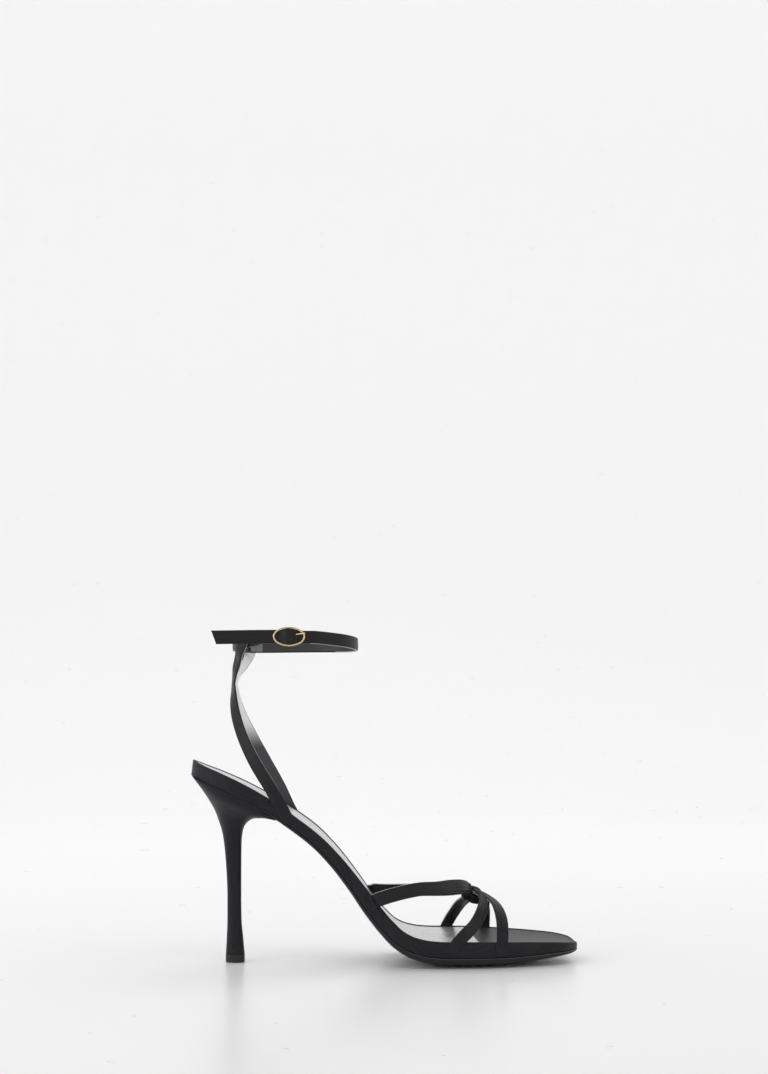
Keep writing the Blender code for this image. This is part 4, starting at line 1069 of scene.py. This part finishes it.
GATHER_PLACES = (0.710, 0.720, 0.733, 0.746, 0.755)
GATHER_LIFTS = (0.80, 0.81, 0.80, 0.78, 0.77)
GATHER_SIZES = (0.60, 0.84, 1.0, 0.94, 0.62)
gather_rings = []
for along in np.linspace(GATHER_PLACES[0], GATHER_PLACES[-1], 16):
    lift = float(smooth_through(GATHER_PLACES, GATHER_LIFTS, along))
    size = float(smooth_through(GATHER_PLACES, GATHER_SIZES, along))
    gather_rings.append(gather_ring(along, lift, size))
settle(skin("knot_gather", gather_rings, strap_satin, smooth_angle=75), "black_satin", "vamp_straps")

collar_centre = above_bed(0.7145, 0.0, 0.845)
collar_rings = []
for place_x in np.linspace(-1.0, 1.0, 15):
    size = 1.0 - 0.14 * place_x ** 4
    ring = []
    for angle in circle(72):
        narrow = 1.0 - 0.22 * max(0.0, -math.sin(angle))
        crease = 1 + 0.02 * math.cos(9 * place_x + 2 * math.sin(angle))
        y = COLLAR_HALF_WIDTH * size * crease * math.cos(angle)
        z = COLLAR_HALF_HEIGHT * size * crease * math.sin(angle)
        ring.append(collar_centre + np.array([COLLAR_HALF_LENGTH * place_x * narrow, y, z]))
    collar_rings.append(ring)
settle(skin("knot_collar", collar_rings, strap_satin, smooth_angle=75), "black_satin", "vamp_straps")
print("knot made of", len(gather_rings), "and", len(collar_rings), "rings")

# %% [markdown]
# ## The ankle ring
# The ankle strap is an oval seen from above, a little higher on the outer side and lower behind and in
# front. The heel strap hangs on it and the buckle sits on its outer side, so its shape comes first.

# %% Ankle ring
HEEL_STRAP_WIDTH = 0.0070
ANKLE_STRAP_WIDTH = 0.0068
ANKLE_RISE = 0.0649
ANKLE_LENGTH = 0.0688
ANKLE_WIDTH = 0.0602
ANKLE_CENTRE = 0.2697
ANKLE_TILT = 0.0014
ANKLE_DROP = 0.0012
FRONT_DROP = 0.0010


def ankle_height(x, y):
    """Height of the ankle strap's middle at a place from the ring's centre."""
    share = min(max(y / (ANKLE_WIDTH / 2), -1.0), 1.0)
    behind_share = 0.5 - x / ANKLE_LENGTH
    front_share = max(0.0, 2 * x / ANKLE_LENGTH)
    top = place(0.0, 0.001, section_thickness(0.0))[2]
    tilt = ANKLE_TILT * (0.65 * share * share - share)
    return top + ANKLE_RISE + tilt - ANKLE_DROP * behind_share - FRONT_DROP * front_share ** 2


def ankle_point(angle):
    """A point of the ankle ring, with its outward direction. Angles in degrees: 0 front, -90 outer side."""
    turn = math.radians(angle)
    x = ANKLE_LENGTH / 2 * math.cos(turn)
    y = ANKLE_WIDTH / 2 * math.sin(turn)
    away = np.array([x / ANKLE_LENGTH**2, y / ANKLE_WIDTH**2, 0.0])
    away /= np.linalg.norm(away)
    return np.array([(ANKLE_CENTRE - 0.5) * LENGTH + x, y, ankle_height(x, y)]), away


print("ankle strap stands", round(1000 * ankle_point(0)[0][2]), "mm over the floor in front")

# %% [markdown]
# ## Heel strap
# Two branches rise from the sides of the footbed, come together behind the ankle and end in loops over the
# ankle strap. Their linings have no facing over them. That of the inner branch is pale near the loop, and
# below it has painted shade: its colour darkens to charcoal towards the sole. The end of its loop shows the
# grey of the lining on its outside too.

# %% Heel strap
# Columns: how far out and up from the ankle strap's middle, the turn, and where the face looks, out and up.
LOOP_ROWS = (
    (1.30, -1.50, -1.0, 1.0, 0.0),
    (1.03, -0.80, -0.5, 1.0, 0.0),
    (1.03, 0.20, 0.0, 1.0, 0.0),
    (1.03, 0.84, 0.2, 1.0, 0.0),
    (0.76, 1.18, 0.3, 1.0, 1.0),
    (0.00, 1.34, 0.4, 0.0, 1.0),
    (-0.76, 1.18, 0.5, -1.0, 1.0),
    (-1.03, 0.84, 0.5, -1.0, 0.0),
    (-1.03, 0.20, 0.5, -1.0, 0.0),
    (-1.03, -0.80, 0.5, -1.0, 0.0),
)


def heel_branch_rows(side, attach, rows, wrap_angle, slant, loop_width=1.0):
    """One branch: up from the sole's side, past the back of the ankle and over the ankle strap."""
    low = beside_sole(attach + 0.026, side, 0.44)
    high = beside_sole(attach, side, 0.88)
    width = HEEL_STRAP_WIDTH
    made = [(low, side_facing(attach + 0.030, side), width, SEAT_THICKNESS),
            (high, side_facing(attach, side), width, SEAT_THICKNESS)]
    ankle_back = ankle_point(180)[0]
    for forward, across, lift, heading in rows:
        x = ankle_back[0] + forward * (high[0] - ankle_back[0])
        z = high[2] + lift * (ankle_back[2] - high[2])
        point = np.array([x, across * side * SEAT_WIDTH / 2, z])
        made.append((point, facing(heading * side, 4), width, STRAP_THICKNESS))
    clear = STRAP_THICKNESS + GAP
    up = np.array([0.0, 0.0, 1.0])
    for out, rise, turn, outward, upward in LOOP_ROWS:
        wrap, away = ankle_point(wrap_angle - side * turn * slant)
        point = wrap + out * clear * away + rise * ANKLE_STRAP_WIDTH / 2 * up
        made.append((point, outward * away + upward * up, loop_width * width, STRAP_THICKNESS))
    return made


outer_branch_rows = heel_branch_rows(-1, 0.2160, (
    (0.782, 1.030, 0.120, 106),
    (0.432, 0.880, 0.290, 119),
    (0.172, 0.650, 0.455, 131),
    (0.047, 0.450, 0.580, 138),
    (0.002, 0.250, 0.680, 152),
    (0.000, 0.100, 0.755, 168),
    (0.032, 0.290, 0.835, 156),
    (0.089, 0.460, 0.895, 146),
), 217, 5.0)
inner_branch_rows = heel_branch_rows(1, 0.2330, (
    (0.834, 1.020, 0.120, 106),
    (0.563, 0.880, 0.290, 119),
    (0.303, 0.650, 0.455, 131),
    (0.127, 0.450, 0.580, 138),
    (0.051, 0.250, 0.680, 152),
    (0.032, 0.100, 0.755, 170),
    (0.067, 0.330, 0.830, 154),
    (0.185, 0.590, 0.892, 134),
), 134, 4.0, 1.22)
branch_fold = knot_folds(0.66, 0.08, 0.00014, 2.0)
make_strap("outer_branch", outer_branch_rows, "heel_strap", fold=branch_fold)
# the inner branch's lining has painted shade, darker towards the sole
make_strap("inner_branch", inner_branch_rows, "heel_strap", strap_lining_painted_shade, fold=branch_fold, margin=0.0005,
           lined_end=0.95)

# %% [markdown]
# ## Ankle strap
# One band makes the ankle strap: its end is turned round the bar of the buckle, it runs round the ankle,
# passes through the ring over the bar and ends in a slanted tail. A slot lets the prong out of the turned
# end. The hole that takes the prong is cut in the satin cover only, so no light comes through the strap.

# %% Buckle sizes and the ankle strap's rows
TAIL_LENGTH = 0.0403
TAIL_SLANT = 0.0031
BUCKLE_LENGTH = 0.0175
BUCKLE_HEIGHT = 0.0109
BUCKLE_WIRE = 0.00062
BAR_WIRE = 0.00055
BAR_CRANK = 0.0026
PRONG_WIRE = 0.00042
PRONG_LIFT = 0.0010
STRAP_CLEARANCE = 0.0003

from_centre = -0.056 * ANKLE_LENGTH
buckle_y = -ANKLE_WIDTH / 2 - STRAP_THICKNESS - GAP - STRAP_CLEARANCE - BUCKLE_WIRE - STRAP_THICKNESS * 0.5
buckle_x = (ANKLE_CENTRE - 0.5) * LENGTH + from_centre
centre = np.array([buckle_x, buckle_y, ankle_height(from_centre, buckle_y) + 0.0002])
bar = centre + np.array([0.0, BAR_CRANK, 0.0])
layer = BAR_WIRE + STRAP_CLEARANCE + STRAP_THICKNESS / 2
under_ring = centre[1] + BUCKLE_WIRE + STRAP_CLEARANCE + STRAP_THICKNESS / 2
behind_ring = under_ring + STRAP_THICKNESS + STRAP_CLEARANCE
inmost = behind_ring + STRAP_THICKNESS + STRAP_CLEARANCE
over_bar = bar[1] - layer - STRAP_THICKNESS - STRAP_CLEARANCE
side_x = BUCKLE_LENGTH / 2
level = centre[2]


def strap_row(ahead, y, heading, raised=0.0, wide=1.0):
    """A row of the strap at the buckle: its distance ahead of the bar, and how far it is raised."""
    point = np.array([bar[0] + ahead, y, level + raised])
    return point, facing(heading, 0), wide * ANKLE_STRAP_WIDTH, STRAP_THICKNESS


ankle_rows = [
    strap_row(-1.15 * side_x, inmost, 90),
    strap_row(-0.50 * side_x, max(inmost - 0.0003, bar[1] + layer), 90),
    strap_row(0.0, bar[1] + layer, 80),
    strap_row(0.71 * layer, bar[1] + 0.71 * layer, 45),
    strap_row(layer, bar[1], 0),
    strap_row(0.71 * layer, bar[1] - 0.71 * layer, -45),
    strap_row(0.0, bar[1] - layer, -85),
    strap_row(-0.48 * side_x, 0.5 * (bar[1] - layer + behind_ring), -100),
    strap_row(-0.95 * side_x, behind_ring, -95),
    strap_row(-1.45 * side_x, behind_ring + 0.0010, -105),
]
for angle in range(226, -48, -15):
    ankle_rows.append((*ankle_point(angle), ANKLE_STRAP_WIDTH, STRAP_THICKNESS))
ankle_rows += [
    strap_row(1.60 * side_x, 0.5 * (under_ring - ANKLE_WIDTH / 2), -80),
    strap_row(side_x, under_ring, -90),
    strap_row(0.56 * side_x, under_ring - 0.0002, -85, 0.0, 1.06),
    strap_row(0.10 * side_x, over_bar, -90, 0.0002, 1.24),
    strap_row(-0.10 * side_x, over_bar, -90, 0.0002, 1.24),
    strap_row(-0.56 * side_x, under_ring - 0.0002, -95, 0.0001, 1.10),
    strap_row(-side_x, under_ring, -90, 0.0002, 1.08),
    strap_row(-0.55 * TAIL_LENGTH, under_ring - 0.0003, -90, 0.0, 1.09),
    strap_row(-TAIL_LENGTH, under_ring - 0.0002, -90, -0.0003, 1.09),
]


# %% Make the ankle strap and cut its slot and hole
slot_half = PRONG_WIRE + STRAP_CLEARANCE
prong_level = level + PRONG_LIFT
# the hem on the ankle strap is a painted highlight along one edge
ankle_pieces = make_strap("ankle_strap", ankle_rows, "ankle_strap", strap_charcoal, end_slant=TAIL_SLANT,
                          highlight_hem=(0.55, 0.80), margin=0.0006)
for piece in ankle_pieces:
    slot_box = box("slot_cutter", (bar[0] - 1.35 * layer, bar[1] - 1.35 * layer, prong_level - slot_half),
                   (bar[0] + 1.6 * layer, bar[1] + 0.0018, prong_level + slot_half), strap_satin)
    if not piece.name.endswith("cover"):
        cut_out(piece, [slot_box])
        continue
    hole_box = box("hole_cutter", (bar[0] + 0.0030, over_bar - STRAP_THICKNESS, prong_level - 0.0004),
                   (bar[0] + 0.0054, bar[1], prong_level + slot_half + 0.0004), strap_satin)
    cut_out(piece, [slot_box, hole_box])
print("ankle strap pieces:", [piece.name for piece in ankle_pieces])

# %% [markdown]
# ## Buckle
# The ring is round wire bent to an oval, with a straight bar across its middle that is cranked towards the
# ankle. The prong is a thinner wire with an eye round the bar, and its tip rests on the front of the ring.
# Each wire is a circle swept along a row of points by the skin function, which gives it the same kind of
# mesh as the straps.

# %% Buckle
def tube(name, points, radius, sides, square_to, closed=False):
    """A round wire through points that lie close together, in a plane that square_to is square to."""
    points = np.array(points)
    if closed:
        ahead = np.roll(points, -1, axis=0) - np.roll(points, 1, axis=0)
    else:
        ahead = np.gradient(points, axis=0)
    reference = np.array(square_to)
    rings = []
    for point, direction in zip(points, ahead):
        direction = direction / np.linalg.norm(direction)
        first = reference - direction * np.dot(reference, direction)
        first /= np.linalg.norm(first)
        second = np.cross(direction, first)
        rings.append([point + radius * (math.cos(a) * first + math.sin(a) * second) for a in circle(sides)])
    return skin(name, rings, polished_gold, closed)


RING_WIRE = 0.00052
RING_RISE = 0.0002
RING_SQUEEZE = 0.96  # the ring is a little less tall than its solid
PIN_RISE = 0.0009
oval_across = BUCKLE_LENGTH / 2 - RING_WIRE
oval_tall = RING_SQUEEZE * BUCKLE_HEIGHT / 2 - RING_WIRE
oval = [centre + np.array([oval_across * math.cos(a), 0.0, oval_tall * math.sin(a) + RING_RISE])
        for a in circle(120)]
settle(tube("buckle_ring", oval, RING_WIRE, 22, (0.0, 1.0, 0.0), closed=True), "gold", "buckle_frame")

bar_inner = ANKLE_STRAP_WIDTH / 2 + STRAP_CLEARANCE + BAR_WIRE
bar_route = []
for share in np.linspace(-1, 1, 41):
    crank = BAR_CRANK * min(1.0, (1 - abs(share)) * oval_tall / max(oval_tall - bar_inner, 0.0004) * 0.75)
    bar_route.append(centre + np.array([0.0, crank, share * oval_tall]))
settle(tube("buckle_bar", bar_route, BAR_WIRE, 18, (1.0, 0.0, 0.0)), "gold", "buckle_frame")

eye = BAR_WIRE + STRAP_CLEARANCE + PRONG_WIRE
eye_centre = bar + np.array([0.0, 0.0, PRONG_LIFT])
eye_route = [eye_centre + eye * np.array([math.cos(a), math.sin(a), 0.0]) for a in circle(48)]
settle(tube("prong_eye", eye_route, PRONG_WIRE, 16, (0.0, 0.0, 1.0), closed=True), "gold", "buckle_prong")
rest = centre[1] - BUCKLE_WIRE - STRAP_CLEARANCE - PRONG_WIRE
pin_route = []
for share in np.linspace(0, 1, 30):
    ease = math.sin(math.pi / 2 * share) ** 4
    y = (bar[1] - eye) * (1 - ease) + rest * ease
    pin_route.append((bar[0] + share * BUCKLE_LENGTH / 2, y, eye_centre[2] + PIN_RISE * share))
settle(tube("prong_pin", pin_route, PRONG_WIRE, 16, (0.0, 0.0, 1.0)), "gold", "buckle_prong")
print("buckle is", round(1000 * BUCKLE_LENGTH, 1), "by", round(1000 * BUCKLE_HEIGHT, 1), "mm")

# %% [markdown]
# ## Stitches
# The end of each loop is sewn to the branch below the ankle strap. A stitch is a short arc of thread that
# dips into the strap at both ends, and a row of four makes the seam. Each stitch is a small mesh of its
# own.

# %% Loop stitches
STITCH_LENGTH = 0.0011
STITCH_RADIUS = 0.00011
STITCH_COUNT = 4
SEAM_PLACE = 0.985  # share of the branch's route


def stitch_rings(start, end, away):
    """Rings of one stitch: a thin thread that bows out between its ends."""
    start, end, away = (np.array(value, dtype=float) for value in (start, end, away))
    ahead = (end - start) / np.linalg.norm(end - start)
    side = np.cross(ahead, away)
    rings = []
    for share in np.linspace(0, 1, 7):
        bow = STITCH_RADIUS * (2.2 * math.sin(math.pi * share) - 0.6)
        middle = start + (end - start) * share + away * bow
        rings.append([middle + STITCH_RADIUS * (math.cos(a) * away + math.sin(a) * side) for a in circle(8)])
    return rings


def stitch_seam(name, rows):
    """Stitches across the end of a loop of the heel strap."""
    route = smooth_route(rows)
    row = route[round(SEAM_PLACE * (len(route) - 1))]
    ahead = route[-1, :3] - route[-4, :3]
    ahead /= np.linalg.norm(ahead)
    face = row[3:6] / np.linalg.norm(row[3:6])
    wide = np.cross(face, ahead)
    stitches = []
    for i in range(STITCH_COUNT):
        offset = (i - (STITCH_COUNT - 1) / 2) * STITCH_LENGTH * 1.35
        middle = row[:3] + face * (row[7] / 2) + wide * offset
        rings = stitch_rings(middle - wide * STITCH_LENGTH / 2, middle + wide * STITCH_LENGTH / 2, face)
        stitches.append(skin(f"{name}_{i}", rings, stitch_thread))
    for made in stitches:
        settle(made, "black_satin", "heel_strap")
    return stitches


seam_pieces = stitch_seam("outer_stitch", outer_branch_rows)
seam_pieces += stitch_seam("inner_stitch", inner_branch_rows)
print("stitches:", len(seam_pieces))

# %% [markdown]
# ## Studio
# The sandal stands on a pale sweep: a floor that bends up into the backdrop, so no horizon shows. The
# sheet is acrylic with a satin gloss, so the heel and the sole mirror faintly in it. The light is that of
# a product table: a bright even sky all round, a wide panel high up behind and one on the left. Two matt
# black cards hang above the picture. They darken the reflections in the satin and keep the shadow on the
# floor soft.

# %% Sweep
SWEEP_BEND = 1.2
SWEEP_CLEARANCE = 0.00008  # keeps the floor from flickering through the sole


def make_sweep():
    """A floor that runs back and bends up into a wall, one smooth sheet."""
    low = -SWEEP_CLEARANCE
    bend = SWEEP_BEND
    profile = [(-3.0, low), (bend, low)]
    for a in np.linspace(0.1, math.pi / 2, 14):
        profile.append((bend + bend * math.sin(a), low + bend - bend * math.cos(a)))
    profile.append((2 * bend, 4.0))
    build = bmesh.new()
    rows = [[build.verts.new((x, y, z)) for x in (-4.0, 4.0)] for y, z in profile]
    for one, two in zip(rows[:-1], rows[1:]):
        build.faces.new((one[0], one[1], two[1], two[0]))
    mesh = bpy.data.meshes.new("sweep")
    build.to_mesh(mesh)
    build.free()
    mesh.shade_smooth()
    made = bpy.data.objects.new("sweep", mesh)
    bpy.context.collection.objects.link(made)
    return made


acrylic = plain_finish("satin_acrylic_sweep", "f7f7f7", 0.30, 60.0, 0.000001)
sweep = make_sweep()
sweep.data.materials.append(acrylic)
print("the floor bends up", SWEEP_BEND, "m behind the sandal")

# %% Lights
SKY = 1.02
CARD_THICKNESS = 0.004
world = bpy.data.worlds.new("studio_sky")
bpy.context.scene.world = world
world.use_nodes = True
world.node_tree.nodes["Background"].inputs["Color"].default_value = (1.0, 1.0, 1.0, 1.0)
world.node_tree.nodes["Background"].inputs["Strength"].default_value = SKY


def panel(name, location, target, width, height, power):
    """A soft rectangular light that faces a target."""
    data = bpy.data.lights.new(name, "AREA")
    data.shape = "RECTANGLE"
    data.size = width
    data.size_y = height
    data.energy = power
    made = bpy.data.objects.new(name, data)
    made.location = location
    made.rotation_euler = (Vector(target) - Vector(location)).to_track_quat("-Z", "Y").to_euler()
    bpy.context.collection.objects.link(made)
    return made


panel("top_panel", (0.1, 0.9, 1.3), (0.0, 0.0, 0.0), 1.2, 0.5, 3.0)
panel("left_panel", (-1.1, -0.5, 0.45), (0.0, 0.0, 0.0), 0.9, 0.5, 2.2)


def flag(name, middle, width, depth):
    """A thin matt black card that hangs level and keeps light off."""
    x, y, z = middle
    made = box(name, (x - width / 2, y - depth / 2, z),
               (x + width / 2, y + depth / 2, z + CARD_THICKNESS), black_card)
    return made


black_card = plain_finish("matt_black_card", "1a1a1a", 0.9, 300.0, 0.00002)
flag("ceiling_flag", (0.0, 0.0, 1.1), 0.8, 0.6)
flag("front_flag", (0.0, -1.15, 0.95), 1.4, 0.7)

# %% [markdown]
# ## Camera
# The camera stands low, a little above the seat of the sandal, and looks at it from slightly behind its
# middle. A lens of nearly 60 mm from about a metre away keeps the perspective gentle. The lens is shifted
# up, because the picture leaves more room above the sandal than below it. Tilting the camera instead would
# make the heel lean.

# %% Camera
CAMERA_DISTANCE = 0.975
CAMERA_HEIGHT = 0.139
CAMERA_YAW = math.radians(3.5)
SENSOR = 36.0
MIDDLE = (-0.00013, -0.00045)
FOCAL_PIXELS = 1741.0
IMAGE_HEIGHT = 1074.0
HORIZON = 712.0
camera_data = bpy.data.cameras.new("camera")
camera_data.sensor_width = SENSOR
camera_data.lens = SENSOR * FOCAL_PIXELS / IMAGE_HEIGHT
camera_data.shift_y = (HORIZON - IMAGE_HEIGHT / 2) / IMAGE_HEIGHT
camera = bpy.data.objects.new("camera", camera_data)
camera.location = (MIDDLE[0] - CAMERA_DISTANCE * math.sin(CAMERA_YAW),
                   MIDDLE[1] - CAMERA_DISTANCE * math.cos(CAMERA_YAW), CAMERA_HEIGHT)
camera.rotation_euler = (math.pi / 2, 0.0, -CAMERA_YAW)
bpy.context.collection.objects.link(camera)
bpy.context.scene.camera = camera
bpy.context.scene.view_settings.view_transform = "Standard"
print("lens", round(camera_data.lens, 1), "mm, shift", round(camera_data.shift_y, 3))
